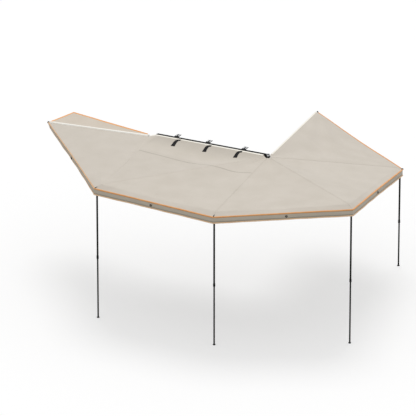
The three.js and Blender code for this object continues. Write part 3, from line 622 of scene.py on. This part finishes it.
# More rows lie where the cloth bends: over the rafters' shoulders and over the pole's socket
clothGrid = {"rows": 46, "columns": 40, "shoulderRows": [0.95, 0.965, 0.98],
             "socketRows": [0.44, 0.455, 0.47, 0.485, 0.5, 0.72]}
for index, panel in enumerate(panels):
    panel["seed"] = wrinkles["seed"] + index * wrinkles["seedStep"]
    shares = evenly(0, 1, clothGrid["rows"] - 1)
    shares += clothGrid["shoulderRows" if panel["hubEdge"] else "socketRows"]
    rows = []
    for share in sorted(set(round(s, 5) for s in shares)):
        rows.append([panelPoint(panel, share, across) for across in evenly(0, 1, clothGrid["columns"])])
    cloth = canvas if panel["hubEdge"] else frontCanvas
    panel["piece"] = clothFrom(panel["name"], rows, fan["thickness"], cloth)
    # for each point of the outer edge: the way out, and the way back up over the cloth
    panel["edge"] = edge = rows[-1]
    panel["frames"] = []
    for c, point in enumerate(edge):
        out = sideAt(edge, c)
        if out.dot(point - king) < 0:
            out = -out
        panel["frames"].append((point, out, (rows[-2][c] - point).normalized()))
    panel["inwards"] = [-way for point, way, back in panel["frames"]]
print("canopy panels laid")

# Skirts hang from the outer edges, each with a slow wave. A tape is folded over the head, one over the foot.
# footUp and hemUp are heights over the foot; cut is how deep each strip is cut.
skirt = {
    "depth": 0.097, "rows": 12, "wave": 0.003, "waves": 5, "belly": 0.0075, "ease": 0.0015, "bind": 0.016,
    "tapeOver": 0.012, "tapeDown": 0.013, "tape": 0.0014, "out": 0.0012, "footUp": (0.011, 0.005, -0.001),
    "hemUp": (0.028, 0.021, 0.0145, 0.010), "hem": 0.0010, "bead": 0.0068, "beadUp": 0.0010,
    "footBead": 0.0062, "footOut": 0.0035, "lap": 0.0035, "lean": 0.014, "tipLean": 0.010, "taper": 0.14,
    "foldBack": 0.002, "foldUp": 0.0004, "foldDown": 0.004, "beadDown": 0.002, "endOut": 0.0016,
    "endFrom": 0.006, "endShort": 0.002,
    "cut": {"skirt": 0.097, "headTape": 0.027, "footTape": 0.0125, "footHem": 0.018},
}


def skirtLean(panel, share, drop):
    # the front skirt is cut narrower towards the pole and pulled in under the cloth there
    if panel is not panels[0]:
        return 0.0, drop
    lean = skirt["lean"] * math.sqrt(min(1.0, (1 - share) * 3)) + skirt["tipLean"] * (1 - share) ** 4
    return lean * (drop / skirt["depth"]) ** 2, drop * (1 - skirt["taper"] * (1 - share))


def skirtRow(panel, drop, out):
    row = []
    for c, (point, way, back) in enumerate(panel["frames"]):
        share = c / (len(panel["frames"]) - 1)
        lean, fall = skirtLean(panel, share, drop)
        hold = math.sin(math.pi * share) ** 0.5
        swing = math.sin(share * skirt["waves"] * 2 * math.pi + panel["seed"]) * drop / skirt["depth"]
        belly = skirt["belly"] * math.sin(math.pi * min(1.0, drop / skirt["depth"])) * min(1.0, hold * 2.5)
        away = out + belly - lean + (skirt["wave"] * swing - skirt["ease"]) * hold
        row.append(point - rise(fall) + way * away)
    return row


def edgeRow(panel, over, out, up):
    return [point + back * over + way * out + rise(up) for point, way, back in panel["frames"]]


for panel in panels:
    def skirtStrip(part, rows, thickness, material, under=panel["inwards"]):
        name = panel["name"] + part[0].upper() + part[1:]
        panel[part] = clothFrom(name, rows, thickness, material, under=[under])

    depth, tape = skirt["depth"], skirt["tape"]
    panel["binding"] = sunnedTape if panel is panels[0] else bindingTape
    rows = [skirtRow(panel, drop, 0.0) for drop in evenly(0, depth, skirt["rows"] - 1)]
    skirtStrip("skirt", rows, fan["thickness"], skirtCanvas)
    rows = [edgeRow(panel, skirt[over], 0, tape) for over in ("tapeOver", "foldBack")]
    rows.append(edgeRow(panel, 0, skirt["out"], skirt["foldUp"]))
    rows += [skirtRow(panel, skirt[drop], skirt["out"]) for drop in ("foldDown", "tapeDown")]
    skirtStrip("headTape", rows, tape, panel["binding"], [inward - rise(1) for inward in panel["inwards"]])
    rows = [skirtRow(panel, depth - up, skirt["out"]) for up in skirt["footUp"]]
    # the foot tape's pale colour is painted light
    skirtStrip("footTape", rows, tape, footTapeLit)
    rows = [skirtRow(panel, depth - up, skirt["hem"]) for up in skirt["hemUp"]]
    # the foot hem strip carries painted shade
    skirtStrip("footHem", rows, skirt["hem"], skirtHemShade)
# the two free ends of the skirt, at the pole and at the rear corner, are bound from head to foot
for panel, first, second in ((panels[0], 0, 1), (panels[-1], -1, -2)):
    rows = []
    for drop in evenly(skirt["endFrom"], skirt["depth"] - skirt["endShort"], 11):
        line = skirtRow(panel, drop, skirt["out"] + skirt["endOut"])
        along = (line[second] - line[first]).normalized()
        rows.append([line[first] + along * skirt["bind"] * k / 3 for k in range(4)])
    panel["endTape"] = clothFrom(panel["name"] + "EndTape", rows, skirt["tape"], bindingTape,
                                 under=[[panel["inwards"][first]] * 4])
print("skirts hung")

# Piping: a cord sewn in under the tape, on the edge above and along the foot below
for panel in panels:
    top = edgeRow(panel, 0, skirt["bead"] * 0.5, skirt["beadUp"])
    foot = skirtRow(panel, skirt["depth"] + skirt["beadDown"], skirt["footOut"])
    # the foot piping takes the foot tape's painted light
    for part, line, radius, tape in (("head", top, skirt["bead"], panel["binding"]),
                                     ("foot", foot, skirt["footBead"], footTapeLit)):
        line[0] += (line[0] - line[1]).normalized() * skirt["lap"]
        line[-1] += (line[-1] - line[-2]).normalized() * skirt["lap"]
        panel[part + "Bead"] = grown(panel["name"] + part.capitalize() + "Piping", beadTree, [line],
                                     {"Radius": radius, "Material": tape})
print("piping sewn in")

# The flap between the front pole and the vehicle's nose, with its tape along the two free edges
flap = {"reach": 0.519, "setback": 0.155, "rootReach": 0.055, "rootSetback": 0.060, "rows": 40, "columns": 16,
        "sag": 0.018, "uneven": 0.003, "tape": 0.018, "tapeThickness": 0.0012, "lap": 0.001,
        "turnDown": 0.004, "bead": 0.0052, "cut": (0.54, 1.76)}


def flapPoint(share, across):
    beside = Vector((0, frontEdge["poleOut"], frontEdge["poleUp"]))
    near = sleeveRoot + beside + Vector((-flap["rootSetback"], flap["rootReach"], 0))
    far = poleTip + beside + Vector((flap["setback"], flap["reach"], 0))
    point = (sleeveRoot.lerp(poleTip, share) + beside).lerp(near.lerp(far, share), across)
    point.z -= flap["sag"] * math.sin(math.pi * across) * math.sin(math.pi * share) ** 0.7
    point.z += flap["uneven"] * noise.noise(Vector((point.x * 2.4, point.y * 5, 3.3))) * min(1, across * 6)
    return point


flapRows = [[flapPoint(share, across) for across in evenly(0, 1, flap["columns"])]
            for share in evenly(0, 1, flap["rows"])]
flapPiece = clothFrom("canopyFrontFlap", flapRows, fan["thickness"], flapCanvas)
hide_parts("canopy_front_flap")
for name, line, inner in (
    ("flapSide", [row[-1] for row in flapRows], [row[-2] for row in flapRows]),
    ("flapEnd", flapRows[-1], flapRows[-2]),
):
    back = [(b - a).normalized() for a, b in zip(line, inner)]
    steps = ((flap["tape"], flap["tapeThickness"]), (-flap["lap"], flap["tapeThickness"]),
             (-flap["lap"], -flap["turnDown"]))
    rows = [[a + w * over + rise(up) for a, w in zip(line, back)] for over, up in steps]
    under = [[w - rise(1) for w in back]]
    tape = clothFrom(name + "Tape", rows, flap["tapeThickness"], bindingTape, under)
    cord = [a - w * flap["bead"] * 0.6 for a, w in zip(line, back)]
    piping = grown(name + "Piping", beadTree, [cord], {"Radius": flap["bead"], "Material": bindingTape})
    fasten(tape, "rail_frame")
    fasten(piping, "rail_frame")

# The pole runs in a white sleeve that is sewn between the front panel and the flap
sleeve = {"outer": 0.0225, "inner": 0.0200, "sides": 18, "pitch": 0.05, "pucker": 0.0005, "rootGap": 0.004,
          "tipGap": 0.012}
start = sleeveRoot + poleWay * sleeve["rootGap"]
end = poleTip - poleWay * sleeve["tipGap"]
count = int((end - start).length / sleeve["pitch"]) + 1
path = [start.lerp(end, share) for share in evenly(0, 1, count)]
sleevePiece = tubeFrom("frontPoleSleeve", path, sleeve["outer"], sleeveCanvas, sleeve["sides"],
                       sleeve["inner"], sleeve["pucker"])
fasten(sleevePiece, "rail_frame")
print("flap and sleeve sewn")

# Strips that lie on the canopy: its height is felt for from above
topPoints, topFaces = [], []
for panel in panels:
    base = len(topPoints)
    topPoints += [tuple(v.co) for v in panel["piece"].data.vertices]
    topFaces += [tuple(i + base for i in polygon.vertices) for polygon in panel["piece"].data.polygons]
canopyTop = BVHTree.FromPolygons(topPoints, topFaces)


def heightAt(spot, fallback):
    hit = canopyTop.ray_cast(Vector((spot.x, spot.y, 1.0)), rise(-1))[0]
    return hit.z if hit else fallback


def drapedStrip(name, path, half, thickness, material, lift=0.0002, lanes=5, widths=None):
    # path holds points on the cloth; the strip is 2 * half wide and hugs what it lies on
    rows = []
    last = path[0].z
    for i, point in enumerate(path):
        reach = sideAt(path, i) * half * (widths[i] if widths else 1.0)
        row = []
        for k in range(lanes):
            lane = 2 * k / (lanes - 1) - 1
            spot = point + reach * lane
            last = heightAt(spot, last)
            row.append(Vector((spot.x, spot.y, last + lift + thickness * (1 - 0.5 * abs(lane) ** 4))))
        rows.append(row)
    return clothFrom(name, rows, thickness, material, under=(0, 0, -1))


def alongCourse(course, count):
    # a smooth line through a few chosen points
    spots = np.array(course)
    reach = np.concatenate([[0], np.cumsum(np.linalg.norm(np.diff(spots, axis=0), axis=1))])
    wanted = np.linspace(0, reach[-1], count)
    line = np.stack([np.interp(wanted, reach, spots[:, axis]) for axis in (0, 1)], 1)
    for _ in range(6):
        line[1:-1] = (line[:-2] + 2 * line[1:-1] + line[2:]) / 4
    return line


seam = {"half": 0.011, "thickness": 0.0008, "flat": 0.0004, "count": 60, "from": 0.004, "to": 0.985}
for rafter in rafters[:4]:
    path = ridgePath(rafter, seam, seam["count"])
    # on the first ridge the cloth is not doubled, and only a flat tape shows
    thick, cloth = (seam["flat"], canvas) if rafter is rafters[0] else (seam["thickness"], seamCanvas)
    strip = drapedStrip(rafter["name"] + "RidgeSeam", path, seam["half"], thick, cloth)
    fasten(strip, rafter["name"])

# A sewn line runs in the front panel from the rail's nose to the corner
noseSeam = {"half": 0.008, "from": 0.02, "to": 0.985, "corner": 0.955, "count": 60}
nose = fixedEdge(frontEdge["railPart"])
tip = ridge(rafters[0], noseSeam["corner"])
path = [nose.lerp(tip, share) for share in evenly(noseSeam["from"], noseSeam["to"], noseSeam["count"])]
strip = drapedStrip("noseSeam", path, noseSeam["half"], seam["thickness"], seamCanvas)
fasten(strip, panels[0])

# Another goes along the rail through two panels. It wanders a little, as a long seam over two bellies does.
# Its points are metres from the king pin, towards the rear and outboard.
sideSeam = {"half": 0.012, "front": [(-1.880, 0.625), (-1.400, 0.650), (-0.950, 0.655), (-0.570, 0.698)],
            "rear": [(-0.562, 0.699), (-0.400, 0.680), (-0.200, 0.662), (0.040, 0.662)]}
for name, panel, count in (("front", panels[0], 50), ("rear", panels[1], 28)):
    path = [Vector((king.x + x, king.y - out, railTop)) for x, out in alongCourse(sideSeam[name], count + 1)]
    # the seam strip's grey is painted shade of the fold
    strip = drapedStrip("railSideSeam" + name.capitalize(), path, sideSeam["half"],
                        seam["thickness"], railSeamShade)
    fasten(strip, panel)

# Hems: a cream one beside the rail, a white one on over the pole's socket to the sleeve, a cream one on the
# free rear edge over the last rafter, where from and to are shares of its ridge. A bead holds the first in
# the rail's track.
hem = {"half": 0.0175, "thickness": 0.0016, "aside": 0.0185, "socketAside": 0.0165, "socketFrom": 0.442,
       "socketTo": 0.469, "rearHalf": 0.0095, "rearThickness": 0.0014, "rearAside": 0.011, "from": 0.03,
       "to": 0.99, "bead": 0.0040, "beadIn": 0.0086, "beadDown": 0.0015}
for name, first, last, steps, aside, cloth in (
    ("railSideHem", 0.0, frontEdge["railPart"], 50, hem["aside"], hemCanvas),
    ("socketHem", hem["socketFrom"], hem["socketTo"], 12, hem["socketAside"], sleeveCanvas),
):
    path = [fixedEdge(share) - Vector((0, aside, 0)) for share in evenly(first, last, steps)]
    fasten(drapedStrip(name, path, hem["half"], hem["thickness"], cloth), panels[0])
path = ridgePath(rafters[4], hem, seam["count"], -hem["rearAside"])
rearHem = drapedStrip("rearEdgeHem", path, hem["rearHalf"], hem["rearThickness"], hemCanvas)
fasten(rearHem, "rafter_5")
inTrack = Vector((0, hem["beadIn"], -hem["beadDown"]))
path = [fixedEdge(share) + inTrack for share in evenly(0, frontEdge["railPart"], 12)]
fasten(tubeFrom("railBead", path, hem["bead"], hemCanvas, sides=12), "rail_frame")
print("seams and hems sewn")

# Webbing straps: hooked over at the rail's side, then down the cloth to a loose flared end.
# The course is metres towards the rear and outboard from where a strap leaves the rail.
strap = {"half": 0.027, "thickness": 0.0022, "rear": 0.496, "pitch": 0.521, "flare": 0.08, "flareFrom": 0.7,
         "points": 33, "lift": 0.0006, "slack": 1.02, "patchFrom": 25, "patchThickness": 0.0018,
         "patchLift": 0.0034, "ends": {"rear": 0.262, "middle": 0.262, "front": 0.305},
         "course": [(0.052, 0.049), (0.030, 0.051), (0.012, 0.064), (0.006, 0.095), (0.014, 0.165),
                    (0.030, 0.240), (0.048, 0.318)]}
for index, (name, end) in enumerate(strap["ends"].items()):
    x = king.x - strap["rear"] - strap["pitch"] * index
    (nearAhead, near), (farAhead, far) = strap["course"][-2:]
    course = strap["course"][:-1] + [(nearAhead + (farAhead - nearAhead) * (end - near) / (far - near), end)]
    spots = alongCourse(course, strap["points"])
    path = [Vector((x + ahead, railLow.y - out, railTop)) for ahead, out in spots]
    flares = [max(0.0, i / (strap["points"] - 1) - strap["flareFrom"]) for i in range(strap["points"])]
    widths = [1 + strap["flare"] * wider / (1 - strap["flareFrom"]) for wider in flares]
    piece = drapedStrip("strap" + name.capitalize(), path, strap["half"], strap["thickness"], webbing,
                        strap["lift"], 7, widths)
    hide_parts("strap_" + name)
    fasten(piece, panels[0])
    loose = slice(strap["patchFrom"], None)
    patch = drapedStrip("strapPatch" + name.capitalize(), path[loose], strap["half"] * 1.02,
                        strap["patchThickness"], webbing, strap["patchLift"], 5, widths[loose])
    fasten(patch, panels[0])
print("straps laid")


for panel in (panels[0], panels[-1]):
    tape = panel["endTape"]
    fasten(tape, panel)
for panel in panels:
    piece = panel["piece"]
    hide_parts(panel["node"])
    fasten(piece, panel)
    for part, high in skirt["cut"].items():
        fasten(panel[part], panel)
    for part in ("headBead", "footBead"):
        fasten(panel[part], panel)
fasten(flapPiece, "rail_frame")


# Bolts with washers: the washer's radius and height, the head's radius and height, and how many sides it has
boltSizes = {
    "corner": (0.0065, 0.0012, 0.0036, 0.0010, 20), "rack": (0.0095, 0.0016, 0.0075, 0.0055, 6),
    "hub": (0.0085, 0.0016, 0.0062, 0.0055, 6), "king": (0.0145, 0.0016, 0.0095, 0.005, 6),
}


def bolted(name, spots, kind, body):
    values = {**dict(zip(boltLabels, boltSizes[kind])), "Material": zincSteel}
    fasten(grown(name, boltTree, [spots], values, [rise(1)] * len(spots)), body)


# Corner tabs of webbing lie on the ridges at the front corners; the two rear corners end in a moulded knob
cornerTab = {"half": 0.0085, "thickness": 0.0026, "lift": 0.0016, "from": 0.9795, "to": 0.9985,
             "eyeUp": 0.0052}
knob = {"radius": 0.0110, "upShare": 0.75, "back": 0.022, "out": 0.009}
for rafter in rafters[:2]:
    path = ridgePath(rafter, cornerTab, 10)
    tab = drapedStrip(rafter["name"] + "CornerTab", path, cornerTab["half"], cornerTab["thickness"], webbing,
                      cornerTab["lift"])
    fasten(tab, rafter["name"])
    bolted(rafter["name"] + "CornerRivet", [path[3] + rise(cornerTab["eyeUp"])], "corner", rafter["name"])
for rafter in rafters[3:]:
    end = ridge(rafter, 1.0) + rise(knob["radius"] * knob["upShare"])
    path = [end + rafter["way"] * reach for reach in evenly(-knob["back"], knob["out"], 5)]
    piece = tubeFrom(rafter["name"] + "CornerKnob", path, knob["radius"], nylon, sides=20)
    fasten(piece, rafter["name"])

# A guy ring hangs from a cloth tab halfway along the skirt of each of the first four panels
ring = {"half": 0.014, "drop": 0.012, "foot": 0.036, "out": 0.0085, "swell": 0.004, "gap": 0.003,
        "radius": 0.0130, "hang": 0.8, "wire": 0.0046, "tab": 0.0016, "columns": (20, 19, 21, 20)}
for panel, column in zip(panels, ring["columns"]):
    point, way, back = panel["frames"][column]
    side = Vector((way.y, -way.x, 0))
    rows = []
    for i in range(9):
        drop = ring["drop"] + (ring["foot"] - ring["drop"]) * i / 8
        away = ring["out"] + ring["swell"] * math.sin(math.pi * i / 8) - skirtLean(panel, 0.5, drop)[0]
        rows.append([point + side * ring["half"] * k + way * away - rise(drop) for k in evenly(-1, 1, 4)])
    tab = clothFrom(panel["name"] + "RingTab", rows, ring["tab"], skirtCanvas, under=[[-way] * 5])
    away = ring["out"] + ring["gap"] - skirtLean(panel, 0.5, ring["foot"])[0]
    centre = point + way * away - rise(ring["foot"] + ring["radius"] * ring["hang"])
    hoop = circle(centre, side, rise(1), lambda k: ring["radius"], 24)
    metal = tubeFrom(panel["name"] + "GuyRing", hoop + hoop[:1], ring["wire"], nylon)
    fasten(tab, panel)
    fasten(metal, panel)
print("corner and edge fittings on")

# Stitches in two rows along the seams and tapes. Real ones are 3 mm long; these are drawn 9 mm long to show.
thread = {"Pitch": 0.017, "Half Length": 0.0045, "Thread": 0.0009, "Material": sewingThread}
stitch = {"from": 0.012, "to": 0.977, "count": 80, "aside": 0.7, "up": 0.0016, "tapeShare": 0.8,
          "tapeUp": 0.0007}


def besidePath(path, aside):
    moved = []
    last = path[0].z
    for i, point in enumerate(path):
        spot = point + sideAt(path, i) * aside
        last = heightAt(spot, last)
        moved.append(Vector((spot.x, spot.y, last + stitch["up"])))
    return moved


for rafter in rafters[:4]:
    path = ridgePath(rafter, stitch, stitch["count"])
    rows = [besidePath(path, side * seam["half"] * stitch["aside"]) for side in (-1, 1)]
    tone = {"Material": canvas, "Thread": thread["Thread"] * 0.8} if rafter is rafters[0] else {}
    piece = grown(rafter["name"] + "RidgeStitches", stitchTree, rows, {**thread, **tone})
    fasten(piece, rafter["name"])
for panel in panels:
    row = edgeRow(panel, skirt["tapeOver"] * stitch["tapeShare"], 0, skirt["tape"] + stitch["tapeUp"])
    fasten(grown(panel["name"] + "TapeStitches", stitchTree, [row], thread), panel)
print("stitches sewn")

# The front pole ends in a ribbed moulded cap, fatter than the tube, that the cloth's eye is hooked over.
# The profile is metres along the pole and out from it; only the straight part is ribbed.
cap = {"profile": [(0.0, 0.0105), (0.0015, 0.0160), (0.006, 0.0172), (0.0235, 0.0172), (0.028, 0.0150),
                   (0.0305, 0.0085)],
       "length": 0.031, "back": 0.010, "sides": 48, "rib": 0.0007, "ribs": 12, "ribbed": (0.005, 0.025)}
side = poleWay.cross(rise(1)).normalized()
root = poleTip - poleWay * cap["back"]
rings = []
for along, radius in cap["profile"]:
    rib = cap["rib"] if cap["ribbed"][0] < along < cap["ribbed"][1] else 0.0
    turn = cap["ribs"] * 2 * math.pi / cap["sides"]
    rings.append(circle(root + poleWay * along, side, side.cross(poleWay),
                        lambda k: radius + rib * math.cos(turn * k), cap["sides"]))
piece = ringMesh("frontPoleCap", rings, nylon, (root, root + poleWay * cap["length"]))
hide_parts("front_pole_cap")
fasten(piece, "front_pole")

# Fasteners: bolts on flat bars in the rack brackets' slots, screws in the hub plate, a plate on the king cap
bar = {"half": 0.0098, "back": 0.046, "front": 0.027, "high": 0.0035, "pitch": 0.040, "inset": 0.032,
       "gap": 0.0002}
for name in ("Front", "Middle", "Rear"):
    low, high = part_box("rack_bracket_" + name.lower())
    heads = []
    for part, side in (("Front", -1), ("Rear", 1)):
        x = (low.x + high.x + side * bar["pitch"]) / 2
        spot = Vector((x, high.y - bar["inset"], high.z + bar["gap"]))
        # a half circle at the front end, and the same turned round at the back
        half = bar["half"]
        outline = [(half * math.cos(turn), bar["front"] - half + half * math.sin(turn))
                   for turn in evenly(0, math.pi, 8)]
        outline += [(-x, -y - bar["back"] + bar["front"]) for x, y in outline]
        rings = [[spot + Vector((x, y, z)) for x, y in outline] for z in (0.0, bar["high"])]
        head = spot + rise(bar["high"])
        piece = ringMesh("rackBar" + name + part, rings, zincSteel, (spot, head))
        for polygon in piece.data.polygons:
            polygon.use_smooth = False
        fasten(piece, "rail_frame")
        heads.append(head)
    bolted("rackBolts" + name, heads, "rack", "rail_frame")

screws = {"behind": 0.012, "across": (0.012, 0.055)}
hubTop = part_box("hub_bracket")[1].z
spots = [Vector((railHigh.x + screws["behind"], railLow.y + y, hubTop)) for y in screws["across"]]
bolted("hubPlateScrews", spots, "hub", "rail_frame")
bolted("kingCapPlate", [Vector((king.x, king.y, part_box("hub_cap")[1].z))], "king", "rail_frame")


def axisPoint(rafter, reach):
    (nearReach, nearHigh), (farReach, farHigh) = rafter["axisStart"], rafter["axisEnd"]
    share = (reach - nearReach) / (farReach - nearReach)
    spot = Vector((king.x, king.y, 0)) + rafter["way"] * reach
    spot.z = nearHigh + (farHigh - nearHigh) * share
    return spot


# Rivets through each rafter's tube near both ends, and webbing ties that hold the cloth to it
rivet = {"side": 0.0125, "fromTip": (0.018, 0.046), "fromHub": (0.075, 0.105),
         "sizes": {"Radius": 0.0036, "Height": 0.0016, "Material": zincSteel}}
tie = {"count": 5, "fromHub": 0.35, "fromTip": 0.25, "down": 0.0005,
       "sizes": {"Width": 0.0285, "Height": 0.0252, "Corner": 0.005, "Thickness": 0.0014, "Band": 0.025,
                 "Material": webbing}}
for rafter in rafters:
    spots, ways = [], []
    for reach in [rafter["shoulder"] - step for step in rivet["fromTip"]] + list(rivet["fromHub"]):
        for way in (-rafter["across"], rafter["across"]):
            spots.append(axisPoint(rafter, reach) + way * rivet["side"])
            ways.append(way)
    heads = grown(rafter["name"] + "Rivets", rivetTree, [spots], rivet["sizes"], ways)
    fasten(heads, rafter["name"])
    reaches = evenly(tie["fromHub"], rafter["shoulder"] - tie["fromTip"], tie["count"] - 1)
    spots = [axisPoint(rafter, reach) - rise(tie["down"]) for reach in reaches]
    run = [(axisPoint(rafter, 1.0) - axisPoint(rafter, 0.5)).normalized()] * len(spots)
    ties = grown(rafter["name"] + "ClothTies", loopTree, [spots], tie["sizes"], run)
    fasten(ties, rafter["name"])
print("fasteners and ties on")

# Floor, light and camera. What the camera sees of the floor is pale, and what it gives the object is plain.
paper, tree = newMaterial("paperSweep")
ray = addNode(tree, "LightPath").outputs
seen = ray["Is Camera Ray"]
for other in ("Is Glossy Ray", "Is Transmission Ray"):
    seen = addNode(tree, "Math", {0: seen, 1: ray[other]}, operation="MAXIMUM")
dim, pale = [addNode(tree, "BsdfDiffuse", {"Color": srgb(tone)}) for tone in ("#a4a4a4", "#ffffff")]
glow = addNode(tree, "Emission", {"Color": srgb("#ffffff"), "Strength": 1.0})
half = addNode(tree, "MixShader", {0: 0.5, 1: pale, 2: glow})
mix = addNode(tree, "MixShader", {0: seen, 1: dim, 2: half})
addNode(tree, "OutputMaterial", {"Surface": mix})
size = 400.0
corners = [(x * size, y * size, ground) for x, y in ((-1, -1), (1, -1), (1, 1), (-1, 1))]
meshObject("floor", corners, [(0, 1, 2, 3)], paper)

studio = {"zenith": 0.86, "horizon": 0.50, "sun": 0.95, "sunAngle": 30.0, "tilt": -22.0, "lean": -10.0}
world = bpy.data.worlds.new("softStudio")
scene.world = world
world.use_nodes = True
tree = world.node_tree
tree.nodes.clear()
sky = addNode(tree, "TexCoord").outputs["Generated"]
height = addNode(tree, "SeparateXYZ", {"Vector": sky}).outputs["Z"]
strength = addNode(tree, "MapRange", {"From Min": 0.0, "From Max": 1.0, "To Min": studio["horizon"],
                                                "To Max": studio["zenith"], "Value": height})
dome, white = [addNode(tree, "Background", {"Color": srgb("#ffffff"), "Strength": power})
               for power in (strength, 1.0)]
ray = addNode(tree, "LightPath").outputs
mix = addNode(tree, "MixShader", {0: ray["Is Camera Ray"], 1: dome, 2: white})
addNode(tree, "OutputWorld", {"Surface": mix})

lamp = bpy.data.lights.new("softKey", "SUN")
lamp.energy = studio["sun"]
lamp.angle = math.radians(studio["sunAngle"])
key = linked("softKey", lamp)
key.rotation_euler = (math.radians(studio["tilt"]), math.radians(studio["lean"]), 0)

view = {"place": (31.314, -63.395, 28.913), "tilt": 67.0, "turn": 26.3, "lens": 432.69, "sensor": 36.0}
lens = bpy.data.cameras.new("camera")
lens.lens = view["lens"]
lens.sensor_width = view["sensor"]
lens.clip_start = 1.0
lens.clip_end = 400.0
camera = linked("camera", lens)
camera.location = view["place"]
camera.rotation_euler = (math.radians(view["tilt"]), 0, math.radians(view["turn"]))
scene.camera = camera
scene.view_settings.view_transform = "Standard"

print("stage ready")
